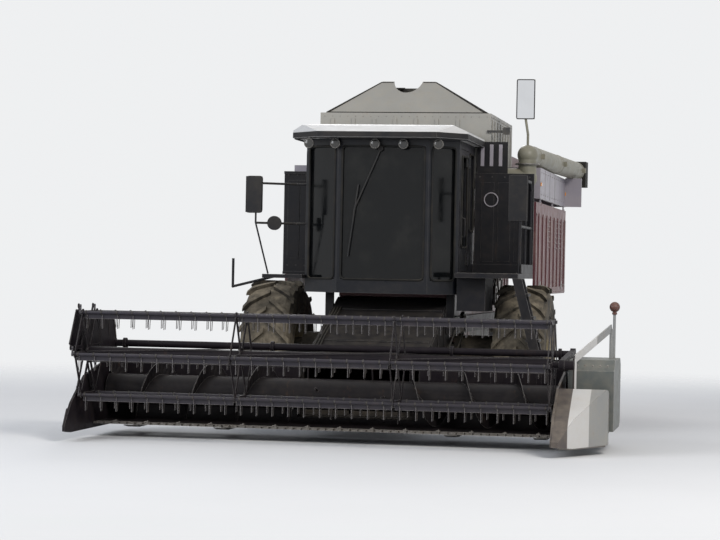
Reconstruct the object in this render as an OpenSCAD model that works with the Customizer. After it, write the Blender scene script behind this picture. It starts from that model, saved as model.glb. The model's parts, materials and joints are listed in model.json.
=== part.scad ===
// Combine harvester with a 4.5 m cutting header, a six-bar reel and a folded unloading auger.
// +Z is up, -Y is forward and +X is the machine's left side. All lengths are in millimetres.
// In comments, s is the distance ahead of the front axle, so y = axle_y - s.

/* [Machine] */
// Reach of the header's dividers ahead of the front axle
front_reach = 4100; // [4060:10:4200]
// Reach of the straw hood behind the front axle
rear_reach = 4950; // [4900:10:5050]
// Distance between the front and the rear axle
wheelbase = 3650; // [3600:10:3700]
// Half width of the threshing body
body_half = 610; // [600:1:616]
// Width of each frame rail
rail_w = 80; // [70:1:90]
// Height of each frame rail
rail_h = 180; // [160:1:190]
// Height of the frame rails' underside above the ground
rail_z = 1000; // [980:1:1010]

/* [Wheels] */
// Radius of the front tyres over their lugs
front_r = 765; // [750:1:775]
// Width of the front tyres
front_w = 560; // [520:1:570]
// Distance between the middles of the front tyres
front_track = 2730; // [2710:2:2760]
// Radius of the front rims at the bead
front_rim_r = 350; // [330:1:360]
// Radius of the rear tyres over their lugs
rear_r = 525; // [500:1:530]
// Width of the rear tyres
rear_w = 340; // [300:1:350]
// Distance between the middles of the rear tyres
rear_track = 2200; // [2190:2:2260]
// Radius of the rear rims at the bead
rear_rim_r = 235; // [225:1:245]
// Depth of the front tyres' lugs
front_lug_h = 38; // [30:1:45]
// Depth of the rear tyres' lugs
rear_lug_h = 26; // [20:1:32]
// Number of lugs on each half of a front tyre
front_lugs = 18; // [14:1:20]
// Number of lugs on each half of a rear tyre
rear_lugs = 14; // [12:1:18]
// Distance between the two steering kingpins
kingpin_track = 1640; // [1620:2:1660]
// Length of the steering arms behind the kingpins
steer_arm = 230; // [210:1:250]

/* [Cab] */
// Right side of the cab, from the middle of the machine
cab_right = -900; // [-910:1:-880]
// Left side of the cab, from the middle of the machine
cab_left = 740; // [720:1:750]
// Underside of the cab floor above the ground
cab_z = 1420; // [1412:1:1430]
// Top of the cab walls above the ground
cab_top = 3040; // [3000:1:3080]
// Front of the cab ahead of the front axle
cab_front = 1150; // [1140:1:1170]
// Thickness of the cab walls
cab_wall = 50; // [40:1:60]
// Height of the roof shell
roof_h = 170; // [150:1:190]
// Length of the door
door_len = 560; // [520:1:565]
// Top of the platform deck above the ground
deck_z = 1650; // [1630:1:1670]
// Left edge of the platform deck
deck_left = 1400; // [1390:1:1410]

/* [Grain tank] */
// Right side of the grain tank
tank_right = -1020; // [-1040:1:-1000]
// Left side of the grain tank
tank_left = 900; // [880:1:920]
// Rim of the grain tank above the ground
tank_top = 3400; // [3350:1:3450]
// Thickness of the tank's sheet with its stiffeners
tank_wall = 20; // [15:1:30]
// Height of the pyramid cover above the rim
cover_h = 440; // [400:1:480]

/* [Header] */
// Inner face of the right end wall
cut_right = -2480; // [-2482:1:-2478]
// Inner face of the left end wall
cut_left = 2050; // [2048:1:2052]
// Half of the header's overall width
header_half = 2560; // [2558:1:2570]
// Radius over the flights of the cross auger
auger_r = 280; // [260:1:290]
// Radius of the cross auger's drum
drum_r = 150; // [130:1:170]
// Pitch of the cross auger's flights
auger_pitch = 520; // [450:10:600]
// Height of the cross auger's axis
auger_z = 440; // [436:1:450]
// Top of the header's back wall
back_z = 800; // [795:1:808]
// Thickness of the header's sheets
pan_t = 18; // [12:1:20]
// Number of knife guards
guards = 58; // [40:1:60]

/* [Reel] */
// Radius of the circle through the tine bars
reel_r = 450; // [440:1:460]
// Height of the reel's axis
reel_z = 820; // [812:1:830]
// Reach of the reel's axis ahead of the front axle
reel_s = 3550; // [3545:1:3570]
// Radius of the reel's main tube
reel_tube_r = 60; // [45:1:70]
// Radius of the tine bars
tine_bar_r = 16; // [14:1:18]
// Length of the tines below their bar
tine_len = 150; // [120:1:152]
// Number of tines on each bar
tines = 30; // [20:1:34]
// Throw of the reel's eccentric
throw = 60; // [50:1:62]

/* [Unloading auger] */
// Radius of the unloading tube
spout_r = 112; // [108:1:118]
// Length of the unloading tube behind its pivot
spout_len = 3770; // [3600:10:3850]
// Angle of the folded tube out from the machine's line
spout_yaw = 3.2; // [3:0.1:3.5]

/* [Fits] */
// Clearance between round pieces that turn in each other, and between seated pieces
fit = 0.3; // [0.2:0.05:0.5]
// Gap between a door and its opening
door_gap = 9; // [8:1:12]
// Play of a cylinder's rod eye round its pin
eye_play = 6; // [5.5:0.5:8]

/* [Hidden] */
$fn = 48;
axle_y = (front_reach - rear_reach) / 2;
body_top = 2180;
body_front = 400;
body_rear = wheelbase + 300;
rail_x = body_half;
rail_top = rail_z + rail_h;
front_x = front_track / 2;
rear_x = rear_track / 2;
weld = 1;
kingpin_x = kingpin_track / 2;

// Feeder house: its pivot, slope and size
feeder_s = 470;
feeder_z = 1120;
feeder_slope = 20;
feeder_half = 250;
feeder_half_w = 600;
feeder_wall = 20;
trunnion_r = 40;
trunnion_reach = 50;

// Header places along s, from the cross auger's axis
auger_s = 2720;
flight_gap = 20;
auger_shaft_r = 30;
pan_r = auger_r + flight_gap;
back_s = auger_s - pan_r;
beam = 60;
beam_s = back_s - pan_t - beam;
flange_s = beam_s - beam;
knife_s = 3150;
guard_reach = 100;
floor_z = auger_z - pan_r;
intake_z = [200, 720];
wall_t = 20;
arm_t = 50;
arm_gap = 5;
arm_right = cut_right - wall_t - arm_gap - arm_t;
arm_left = cut_left + wall_t + arm_gap;
arm_pivot = [2400, 880];
arm_half_h = 45;
arm_tube_r = 35;
reel_shaft_r = 25;
boss_r = 95;

// Right end of the reel, from the wall inward
ring_t = 8;
ring_x = cut_right + 12;
crank_t = 12;
crank_x = ring_x + ring_t + 8;
bar_right = crank_x + crank_t;
bar_left = cut_left - 20;
spider_t = 8;
spider_right = bar_right + 15;
spider_left = bar_left - 22;
spiders = [spider_right, -934, 566, spider_left];
tine_pitch = (bar_left - bar_right - 100) / (tines - 1);
crank_pin_r = 8;

// Places and plain shapes
function pt(x, s, z) = [x, axle_y - s, z];

// Box between the two ends of each range
module block(x, s, z)
    translate([x[0], axle_y - s[1], z[0]]) cube([x[1] - x[0], s[1] - s[0], z[1] - z[0]]);

// Outline in s and z, extruded across the machine
module side_shape(x)
    translate([x[1], axle_y, 0]) rotate([90, 0, -90]) linear_extrude(x[1] - x[0]) children();

// Outline in x and z, extruded along the machine
module front_shape(s)
    translate([0, axle_y - s[0], 0]) rotate([90, 0, 0]) linear_extrude(s[1] - s[0]) children();

// Outline of [x, s] points, extruded upwards
module top_shape(z, points)
    translate([0, axle_y, z[0]]) linear_extrude(z[1] - z[0])
        polygon([for (p = points) [p[0], -p[1]]]);

// Round bar between two points
module rod(a, b, r) {
    v = b - a;
    translate(a) rotate([0, acos(v[2] / norm(v)), atan2(v[1], v[0])]) cylinder(h = norm(v), r = r);
}

// Flat bar between two points, w across and t thick
module flat_bar(a, b, w, t) {
    v = b - a;
    translate(a) rotate([0, acos(v[2] / norm(v)), atan2(v[1], v[0])])
        translate([-w / 2, -t / 2, 0]) cube([w, t, norm(v)]);
}

// Bent round bar through a list of points
module pipe(points, r) {
    for (i = [0 : len(points) - 2]) rod(points[i], points[i + 1], r);
    for (i = [1 : len(points) - 2]) translate(points[i]) sphere(r = r + weld);
}

// Cylinder across the machine
module cross_pin(x, s, z, r)
    translate(pt(x[0], s, z)) rotate([0, 90, 0]) cylinder(h = x[1] - x[0], r = r);

// Upright cylinder
module upright(x, s, z, r) translate(pt(x, s, z[0])) cylinder(h = z[1] - z[0], r = r);

// Shape drawn on the left, mirrored to the right where side is -1
module on_side(side) mirror([side < 0 ? 1 : 0, 0, 0]) children();

// Both sides of what is drawn on the left
module both_sides() for (side = [-1, 1]) on_side(side) children();

// Chassis
module frame() color("#3a3a40") {
    both_sides() {
        block([rail_x, rail_x + rail_w], [-body_rear, 750], [rail_z, rail_top]);
        block([rail_x, rail_x + rail_w], [670, 750], [rail_top, cab_z]);
        cross_pin([rail_x - trunnion_reach, rail_x + weld], feeder_s, feeder_z, trunnion_r);
    }
    for (s = [-body_rear, -3150, -2350, -1550])
        block([-rail_x, rail_x], [s, s + 80], [rail_z, rail_z + 100]);
    hitch();
}

// Clevis at the rear, with a cross pin's bore
hitch_z = [900, rail_z];
hitch_pin = [-body_rear - 110, 945];
hitch_pin_r = 15;
hitch_half = 50;
cheek_t = 22;
module hitch() difference() {
    union() {
        block([-hitch_half, hitch_half], [-body_rear, -body_rear + rail_w], hitch_z);
        both_sides() side_shape([hitch_half - cheek_t, hitch_half]) union() {
            translate([hitch_pin[0], hitch_z[0]]) square([-body_rear - hitch_pin[0] + 1, hitch_z[1] - hitch_z[0] - 10]);
            translate(hitch_pin) circle(r = 45);
        }
    }
    cross_pin([-hitch_half - 1, hitch_half + 1], hitch_pin[0], hitch_pin[1], hitch_pin_r);
}

axle_half = 110;
stub_r = 60;
stub_len = 50;
wheel_face = 1200;
module front_axle() color("#4a4238") {
    block([-700, 700], [-axle_half, axle_half], [front_r - axle_half, front_r + axle_half]);
    both_sides() {
        cross_pin([700, 1060], 0, front_r, 210);
        cross_pin([1060, wheel_face], 0, front_r, 150);
        cross_pin([wheel_face, wheel_face + stub_len], 0, front_r, stub_r);
        block([rail_x, rail_x + rail_w], [-axle_half, axle_half], [front_r + axle_half, rail_z]);
        difference() {
            side_shape([lift_x - 45, lift_x + 45]) union() {
                translate([axle_half, lift_z - 50]) square([lift_s - axle_half, 220]);
                translate([lift_s, lift_z]) circle(r = 50);
            }
            block([lift_x - 26, lift_x + 26], [axle_half + 60, lift_s + 60], [lift_z - 60, lift_z + 180]);
        }
        cross_pin([lift_x - 45, lift_x + 45], lift_s, lift_z, lift_pin_r);
    }
}

module thresher_body() color("#6d2b33")
    side_shape([-body_half, body_half]) difference() {
        polygon([
            [body_front, 900], [body_front, cab_z], [-360, cab_z], [-360, body_top],
            [-body_rear, body_top], [-body_rear, rail_top], [-1250, rail_top], [-1100, 900]
        ]);
        translate([feeder_s, feeder_z]) circle(r = feeder_half + 20);
    }

fan_s = -800;
fan_r = 290;
fan_z = 590;
shoe_half = 560;
module cleaning_shoe() color("#5b5f63") difference() {
    side_shape([-shoe_half, shoe_half]) union() {
        translate([fan_s, fan_z]) circle(r = fan_r);
        polygon([
            [fan_s, fan_z], [-3300, 760], [-3300, rail_z - fit], [-1300, rail_z - fit], [-1120, 880],
            [fan_s, fan_z + fan_r - 30]
        ]);
    }
    for (side = [-1, 1]) translate([side * shoe_half, 0, 0]) cross_pin([-30, 30], fan_s, fan_z, fan_r * 0.5);
}

// Grain tank: hopper below, straight walls above, open at the top
tank_s = [-2450, -420];
tank_knee = 2750;
tank_floor = [-470, 350];
module tank_outline(t) polygon([
    [tank_right + t, tank_top + t], [tank_left - t, tank_top + t], [tank_left - t, tank_knee + t * 0.4],
    [tank_floor[1] - t * 0.4, body_top + t], [tank_floor[0] + t * 0.4, body_top + t],
    [tank_right + t, tank_knee + t * 0.4]
]);
module grain_tank() color("#a09c90") {
    difference() {
        front_shape(tank_s) tank_outline(0);
        front_shape([tank_s[0] + tank_wall, tank_s[1] - tank_wall]) tank_outline(tank_wall);
        block([tank_right - 1, tank_left + 1], [tank_s[0] - 1, tank_s[1] + 1], [tank_top, tank_top + 100]);
    }
}

// Pyramid cover on the tank's rim, with a flat ledge round its foot
cover_foot = [-960, 840];
cover_foot_s = [-2390, -480];
cover_mouth = [-390, 140];
cover_mouth_s = [-1750, -1050];
cover_t = 15;
module cover_solid(t) hull() {
    block([cover_foot[0] + t, cover_foot[1] - t], [cover_foot_s[0] + t, cover_foot_s[1] - t],
          [tank_top + cover_t - t * 2, tank_top + cover_t - t * 2 + 1]);
    block([cover_mouth[0] + t, cover_mouth[1] - t], [cover_mouth_s[0] + t, cover_mouth_s[1] - t],
          [tank_top + cover_h - 1, tank_top + cover_h + t]);
}
module tank_cover() color("#b4afa0") difference() {
    union() {
        block([tank_right, tank_left], tank_s, [tank_top, tank_top + cover_t]);
        cover_solid(0);
    }
    cover_solid(cover_t);
    translate(pt((cover_mouth[0] + cover_mouth[1]) / 2, 0, tank_top + cover_h)) rotate([-90, 0, 0])
        cylinder(h = -cover_mouth_s[1] + 100 - 50, r = 165);
}

engine_s = [-3700, -2700];
module engine_block() color("#4c4f52") block([-400, 400], engine_s, [body_top, 2900]);

hood_s = [-3900, -2470];
hood_half = 880;
hood_top = 3060;
hood_t = 20;
screen_r = 400;
screen_s = -3200;
screen_z = 2620;
screen_t = 60;
module engine_hood() color("#6d2b33") {
    difference() {
        side_shape([-hood_half, hood_half]) polygon([
            [hood_s[0], body_top], [hood_s[0], hood_top - 260], [hood_s[0] + 300, hood_top],
            [hood_s[1], hood_top], [hood_s[1], body_top]
        ]);
        side_shape([-hood_half + hood_t, hood_half - hood_t]) polygon([
            [hood_s[0] + hood_t, body_top - 1], [hood_s[0] + hood_t, hood_top - 270],
            [hood_s[0] + 300, hood_top - hood_t], [hood_s[1] - hood_t, hood_top - hood_t],
            [hood_s[1] - hood_t, body_top - 1]
        ]);
        cross_pin([-hood_half - 1, -hood_half + hood_t + 1], screen_s, screen_z, screen_r - 1);
    }
    difference() {
        cross_pin([-hood_half - screen_t, -hood_half + hood_t], screen_s, screen_z, screen_r);
        cross_pin([-hood_half - screen_t + 20, -hood_half + hood_t + 1], screen_s, screen_z, screen_r - 20);
    }
}

module exhaust_stack() color("#2e2b29") {
    upright(600, -3000, [hood_top, 3300], 60);
    pipe([pt(600, -3000, 3290), pt(600, -3000, 3420), pt(600, -3110, 3500)], 40);
}

hood_wall = 20;
straw_half = 600;
module straw_outline(t) polygon([
    [-body_rear - t, body_top - t], [-body_rear - 400, body_top - t], [-rear_reach + t, 1750 - t * 0.4],
    [-rear_reach + t, 1250], [-body_rear - t, 1250]
]);
module straw_hood() color("#6d2b33") difference() {
    side_shape([-straw_half, straw_half]) straw_outline(0);
    side_shape([-straw_half + hood_wall, straw_half - hood_wall]) union() {
        straw_outline(hood_wall);
        translate([-rear_reach + hood_wall, 1200]) square([rear_reach - body_rear - 2 * hood_wall, 100]);
    }
}

chopper_half = 590;
chopper_z = [850, 1250];
chopper_s = [-body_rear - 850, -body_rear - 300];
// Chopper outline with its edges moved in by t
module chopper_outline(t) polygon([
    [chopper_s[1] - t, chopper_z[1] + t], [chopper_s[1] - t, chopper_z[0] + 100 + t * 0.4],
    [chopper_s[1] - 200 - t * 0.4, chopper_z[0] + t], [chopper_s[0] + 100 + t * 0.4, chopper_z[0] + t],
    [chopper_s[0] + t, chopper_z[0] + 100 + t * 0.4], [chopper_s[0] + t, chopper_z[1] + t]
]);
module straw_chopper() color("#45413f") difference() {
    side_shape([-chopper_half, chopper_half]) chopper_outline(0);
    side_shape([-chopper_half + hood_wall, chopper_half - hood_wall]) chopper_outline(hood_wall);
    block([-chopper_half + hood_wall, chopper_half - hood_wall], [chopper_s[0] - 1, chopper_s[0] + 200],
          [chopper_z[0] - 1, chopper_z[0] + 130]);
}

// Cab
cab_plan = [
    [cab_right, -330], [cab_right, 850], [-500, cab_front], [460, cab_front],
    [cab_left, 850], [cab_left, -330]
];
cab_inner = [
    [cab_right + cab_wall, -330 + cab_wall], [cab_right + cab_wall, 850 - cab_wall * 0.4],
    [-500 + cab_wall * 0.3, cab_front - cab_wall], [460 - cab_wall * 0.3, cab_front - cab_wall],
    [cab_left - cab_wall, 850 - cab_wall * 0.4], [cab_left - cab_wall, -330 + cab_wall]
];
cab_floor = 80;
glass_t = 8;
door_s = [180, 180 + door_len];
door_z = [1655, 2960];
// Windows: plan point at each end of the wall, margin at each end, lower and upper edge
windows = [
    [[-500, cab_front], [460, cab_front], 40, 40, 1560, 2960],
    [[cab_right, 850], [-500, cab_front], 50, 40, 1560, 2960],
    [[460, cab_front], [cab_left, 850], 40, 50, 1560, 2960],
    [[cab_right, -330], [cab_right, 850], 90, 60, 1760, 2940],
    [[cab_left, 180], [cab_left, -330], 90, 90, 2100, 2940],
    [[cab_left, -330], [cab_right, -330], 200, 200, 2200, 2900]
];

// Upright slab that fills a window, less the gap round it, t thick, in the middle of its wall
module window_slab(w, gap, t) {
    a = w[0];
    b = w[1];
    run = norm(b - a);
    inward = cab_wall / 2;
    translate(pt(a[0], a[1], w[4] + gap)) rotate([0, 0, atan2(-(b[1] - a[1]), b[0] - a[0])])
        translate([w[2] + gap, -t / 2 + inward, 0]) cube([run - w[2] - w[3] - 2 * gap, t, w[5] - w[4] - 2 * gap]);
}

module cab_frame() color("#23262c") {
    difference() {
        top_shape([cab_z, cab_top], cab_plan);
        top_shape([cab_z + cab_floor, cab_top - 40], cab_inner);
        for (w = windows) window_slab(w, 0, cab_wall * 3);
        block([cab_left - cab_wall - 10, cab_left + 10], door_s, door_z);
    }
    for (z = knuckle_foot) door_lug(z);
}

module cab_glass() color("#2a3036") for (w = windows) window_slab(w, fit, glass_t);

roof_plan = [
    [cab_right - 120, -360], [cab_right - 120, 1000], [-700, 1320], [560, 1320],
    [cab_left + 100, 1000], [cab_left + 100, -360]
];
module cab_roof() color("#e8e6e0") intersection() {
    top_shape([cab_top, cab_top + roof_h], roof_plan);
    side_shape([cab_right - 200, cab_left + 200]) polygon([
        [-360, cab_top], [-360, cab_top + roof_h - 40], [-200, cab_top + roof_h], [700, cab_top + roof_h],
        [1150, cab_top + roof_h - 40], [1320, cab_top + roof_h - 110], [1320, cab_top]
    ]);
    front_shape([-400, 1400]) polygon([
        [cab_right - 120, cab_top], [cab_right - 120, cab_top + roof_h - 90], [cab_right + 80, cab_top + roof_h],
        [cab_left - 100, cab_top + roof_h], [cab_left + 100, cab_top + roof_h - 90], [cab_left + 100, cab_top]
    ]);
}

seat_x = -80;
module cab_interior() color("#33363b") {
    floor_top = cab_z + cab_floor;
    block([seat_x - 130, seat_x + 130], [-50, 250], [floor_top, floor_top + 330]);
    block([seat_x - 240, seat_x + 240], [-80, 400], [floor_top + 330, floor_top + 450]);
    block([seat_x - 230, seat_x + 230], [-180, -80], [floor_top + 330, floor_top + 1050]);
    upright(seat_x, 760, [floor_top, floor_top + 80], 60);
    rod(pt(seat_x, 760, floor_top + 60), pt(seat_x, 640, floor_top + 640), 35);
    translate(pt(seat_x, 640, floor_top + 640)) rotate([-12, 0, 0]) rotate_extrude() translate([190, 0]) circle(r = 16);
    block([seat_x - 190, seat_x + 190], [630, 650], [floor_top + 630, floor_top + 650]);
    block([seat_x - 480, seat_x - 300], [-50, 560], [floor_top, floor_top + 600]);
}

// Door hinges: lugs with pins on the cab, knuckles on the door
door_pin = [cab_left + 10, door_s[0] + door_gap + 10];
door_pin_r = 6;
knuckle_len = 90;
knuckle_foot = [1750, 2800];
module door_lug(z) {
    block([cab_left - weld, door_pin[0] + 5], [door_s[0] - 40, door_s[0] - 2], [z - 20, z - fit]);
    block([door_pin[0] - 5, door_pin[0] + 5], [door_s[0] - 3, door_pin[1]], [z - 20, z - fit]);
    upright(door_pin[0], door_pin[1], [z - 20, z + knuckle_len - 10], door_pin_r);
}
module door_knuckle(z) difference() {
    upright(door_pin[0], door_pin[1], [z, z + knuckle_len], 2 * door_pin_r);
    upright(door_pin[0], door_pin[1], [z - 1, z + knuckle_len - 9], door_pin_r + fit);
}
module cab_door() difference() {
    block([cab_left - cab_wall, cab_left], [door_s[0] + door_gap, door_s[1] - door_gap],
          [door_z[0] + door_gap, door_z[1] - door_gap]);
    door_window(0, cab_wall * 3);
}
module door_window(gap, t)
    block([cab_left - cab_wall / 2 - t / 2, cab_left - cab_wall / 2 + t / 2],
          [door_s[0] + 70 + gap, door_s[1] - 60 - gap], [door_z[0] + 260 + gap, door_z[1] - 70 - gap]);
module door_frame() color("#23262c") {
    cab_door();
    for (z = knuckle_foot) door_knuckle(z);
}
module door_glass() color("#2a3036") door_window(fit, glass_t);

// Platform, rails and ladder
rail_r = 18;
rail_line = deck_left - 30;
module platform() color("#3b3d44") {
    block([cab_left, deck_left], [-330, 1080], [deck_z - 50, deck_z]);
    block([cab_left + 10, deck_left], [-360, -330 + weld], [deck_z - 50, 2750]);
    block([cab_left, 1040], [250, 900], [1250, deck_z - 50]);
    pipe([pt(rail_line, -300, deck_z - 20), pt(rail_line, -300, 2560), pt(rail_line, -220, 2650),
          pt(rail_line, 640, 2650), pt(rail_line, 720, 2560), pt(rail_line, 720, deck_z - 20)], rail_r);
    rod(pt(rail_line, -300, 2150), pt(rail_line, 720, 2150), rail_r * 0.8);
    rod(pt(rail_line, 210, deck_z - 20), pt(rail_line, 210, 2650), rail_r * 0.7);
    ladder();
    block([cab_right - 430, cab_right], [820, 1000], [1560, 1600]);
    pipe([pt(cab_right - 300, 900, 1580), pt(-1670, 900, 1460), pt(-1670, 900, 1760)], 14);
}

ladder_s = [830, 1070];
module ladder() {
    for (s = ladder_s) front_shape([s - 12, s + 12]) polygon([
        [deck_left - 60, deck_z - 50], [deck_left + 40, deck_z - 50], [deck_left + 340, 450], [deck_left + 240, 450]
    ]);
    for (i = [0 : 4]) {
        z = 480 + i * 235;
        x = deck_left + 290 - (z - 450) * 0.245;
        block([x - 80, x + 60], ladder_s, [z, z + 25]);
    }
}

module mirror_plate(x, s, z, w, h) {
    block([x - w / 2, x + w / 2], [s - 20, s + 20], [z - h / 2, z + h / 2]);
}
module mirrors() color("#1c1d20") {
    mirror_plate(1385, 1060, 2435, 190, 470);
    rod(pt(rail_line, 720 + rail_r + fit, 2500), pt(rail_line, 1045, 2500), 12);
    mirror_plate(-1420, 1060, 2440, 170, 380);
    for (z = [2560, 2140])
        pipe([pt(cab_right, 780, z), pt(cab_right - 120, 780, z), pt(-1400, 1045, z)], 12);
    rod(pt(-1400, 1045, 2140), pt(-1400, 1045, 2260), 10);
    translate(pt(-1210, 965, 2140)) rotate([90, 0, 0]) cylinder(h = 40, r = 75);
    rod(pt(-1400, 1045, 2140), pt(-1280, 940, 1604), 9);
}

lamp_r = 45;
lamp_x = [-800, -520, -100, 200, 570];
module work_lamps() color("#c8c6b8") {
    for (x = lamp_x) {
        translate(pt(x, 1170, cab_top - 65)) rotate([90, 0, 0]) cylinder(h = 60, r = lamp_r);
        block([x - 12, x + 12], [1190, 1210], [cab_top - 30, cab_top]);
    }
    block([tank_left + 140, tank_left + 220], [tank_s[1], tank_s[1] + 60], [3180, 3260]);
    block([tank_left - 40, tank_left + 150], [tank_s[1], tank_s[1] + 20], [3200, 3230]);
}

module grain_elevator() color("#6d2b33") {
    side_shape([-body_half - rail_w - 190, -body_half - rail_w])
        polygon([[-1650, 760], [-1750, 680], [-1950, 680], [-2050, 760], [-2050, 2300], [-1650, 2300]]);
}

panel_x = 1385;
panel_t = 25;
panel_z = [2500, 2845];
hinge_s = [-3900, -2500, -1100];
hinge_z = 2457;
hinge_pin_r = 6;
saddle_s = -3900;
module upper_panels() color("#b9b4bd") {
    difference() {
        both_sides() block([hood_half, panel_x + panel_t], [-4050, -900], panel_z);
        both_sides() block([hood_half - 1, panel_x], [-4025, -925], [panel_z[0] - 1, panel_z[1] - panel_t]);
        block([tank_right - fit, tank_left + fit], [tank_s[0] - fit, tank_s[1]], [panel_z[0] - 1, panel_z[1] + 1]);
        block([-panel_x - panel_t - 1, -hood_half + 1], [screen_s - screen_r - 40, screen_s + screen_r + 40],
              [panel_z[0] - 1, panel_z[1] + 1]);
    }
    block([panel_x + panel_t, panel_x + 230], [saddle_s - 40, saddle_s], [panel_z[0], elbow_z - spout_r - fit]);
    both_sides() for (s = hinge_s) hinge_lug(s);
}

// Lug over a shield's hinge, with the pin that enters the shield's knuckle
module hinge_lug(s) {
    x = panel_x + panel_t / 2;
    translate(pt(x, s + 92, hinge_z)) rotate([-90, 0, 0]) cylinder(h = 30, r = hinge_pin_r + 5);
    block([x - 8, x + 8], [s + 62, s + 92], [hinge_z, panel_z[0] + 10]);
    translate(pt(x, s + 90, hinge_z)) rotate([-90, 0, 0]) cylinder(h = 85, r = hinge_pin_r);
}

elbow_x = 1290;
elbow_s = -630;
elbow_z = 2970;
elbow_r = 110;
elbow_base_z = 2714;
collar_r = 100;
elbow_joint_z = elbow_z - spout_r - 6;
module auger_elbow() color("#8f8a72") {
    difference() {
        cross_pin([tank_floor[1], elbow_x], elbow_s, elbow_base_z, elbow_r);
        front_shape([elbow_s - spout_r, elbow_s + spout_r]) tank_outline(-fit);
    }
    translate(pt(elbow_x, elbow_s, elbow_base_z)) sphere(r = elbow_r + weld);
    upright(elbow_x, elbow_s, [elbow_base_z, elbow_joint_z], collar_r);
}

shield_s = [-4050, -500];
shield_z = [1420, 2450];
module side_shield() color("#7a2a35") difference() {
    union() {
        block([panel_x, panel_x + panel_t], shield_s, shield_z);
        for (i = [0 : 7]) block([panel_x + panel_t, panel_x + panel_t + 15],
            [shield_s[0] + 200 + i * 440, shield_s[0] + 240 + i * 440], [shield_z[0] + 80, shield_z[1] - 120]);
        for (s = hinge_s) translate(pt(panel_x + panel_t / 2, s + 56, hinge_z)) rotate([-90, 0, 0])
            cylinder(h = 56, r = hinge_pin_r + 6);
    }
    for (s = hinge_s) {
        block([panel_x - 1, panel_x + panel_t + 1], [s + 56, s + 98], [shield_z[1] - 28, shield_z[1] + 20]);
        translate(pt(panel_x + panel_t / 2, s + 57, hinge_z)) rotate([-90, 0, 0])
            cylinder(h = 58, r = hinge_pin_r + fit);
    }
}
module side_shield_l() side_shield();
module side_shield_r() on_side(-1) side_shield();

// Rear axle and steering
rear_s = -wheelbase;
knuckle_z = [rear_r - 105, rear_r + 105];
eye_r = 65;
kingpin_r = 25;
spindle_r = 45;
tie_pin_r = 12;
rear_face = 1000;
module rear_axle() color("#4a4238") {
    difference() {
        union() {
            block([-kingpin_x, kingpin_x], [rear_s - 70, rear_s + 70], [rear_r - 65, rear_r + 65]);
            both_sides() upright(kingpin_x, rear_s, [rear_r - 70, rear_r + 70], eye_r);
            side_shape([-150, 150]) polygon([
                [rear_s - 60, rear_r], [rear_s - 160, rail_z], [rear_s + 160, rail_z], [rear_s + 60, rear_r]
            ]);
            both_sides() block([0, rail_x + rail_w], [rear_s - 60, rear_s + 60], [rail_z - 80, rail_z]);
        }
        both_sides() upright(kingpin_x, rear_s, [rear_r - 80, rear_r + 80], kingpin_r + fit);
    }
}

module knuckle() color("#4a4238") {
    upright(kingpin_x, rear_s, [knuckle_z[0], knuckle_z[1]], kingpin_r);
    for (z = [knuckle_z[0], knuckle_z[1] - 30])
        block([kingpin_x - 50, kingpin_x + 110], [rear_s - 55, rear_s + 55], [z, z + 30]);
    block([kingpin_x + 75, kingpin_x + 110], [rear_s - 55, rear_s + 55], knuckle_z);
    cross_pin([kingpin_x + 110, rear_face], rear_s, rear_r, spindle_r + 20);
    cross_pin([rear_face, rear_face + 60], rear_s, rear_r, spindle_r);
    block([kingpin_x - 25, kingpin_x + 25], [rear_s - steer_arm, rear_s - 50], [knuckle_z[1] - 30, knuckle_z[1]]);
    upright(kingpin_x, rear_s - steer_arm, [knuckle_z[1] - 30, knuckle_z[1]], 25);
    upright(kingpin_x, rear_s - steer_arm, [knuckle_z[1], knuckle_z[1] + 45], tie_pin_r);
}
module knuckle_l() knuckle();
module knuckle_r() on_side(-1) knuckle();

tie_z = [knuckle_z[1] + 5, knuckle_z[1] + 35];
module tie_rod() color("#2f3135") difference() {
    union() {
        cross_pin([-kingpin_x, kingpin_x], rear_s - steer_arm, (tie_z[0] + tie_z[1]) / 2, 14);
        both_sides() upright(kingpin_x, rear_s - steer_arm, tie_z, 26);
    }
    both_sides() upright(kingpin_x, rear_s - steer_arm, [tie_z[0] - 1, tie_z[1] + 1], tie_pin_r + fit);
}

// Wheels
// Places a wheel drawn round Z, outward face up, on the left side
module wheel_at(x, s, z) translate(pt(x, s, z)) rotate([0, 90, 0]) children();

// Rim: drum, two flanges, dished disc and hub
module rim(r, w, face, bore) {
    drum = 14;
    flange = 24;
    difference() {
        rotate_extrude() {
            translate([r - drum, -w / 2]) square([drum, w]);
            for (z = [-w / 2, w / 2 - drum]) translate([r - drum, z]) square([drum + flange, drum]);
            polygon([
                [bore, face], [bore + 70, face], [r - drum, face + 60], [r - drum, face + 80],
                [bore + 60, face + 20], [bore + 60, face + stub_len], [bore, face + stub_len]
            ]);
        }
        for (i = [0 : 7]) rotate(i * 45) translate([(bore + r) * 0.56, 0, face]) cylinder(h = 100, r = r * 0.09);
    }
}

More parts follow.
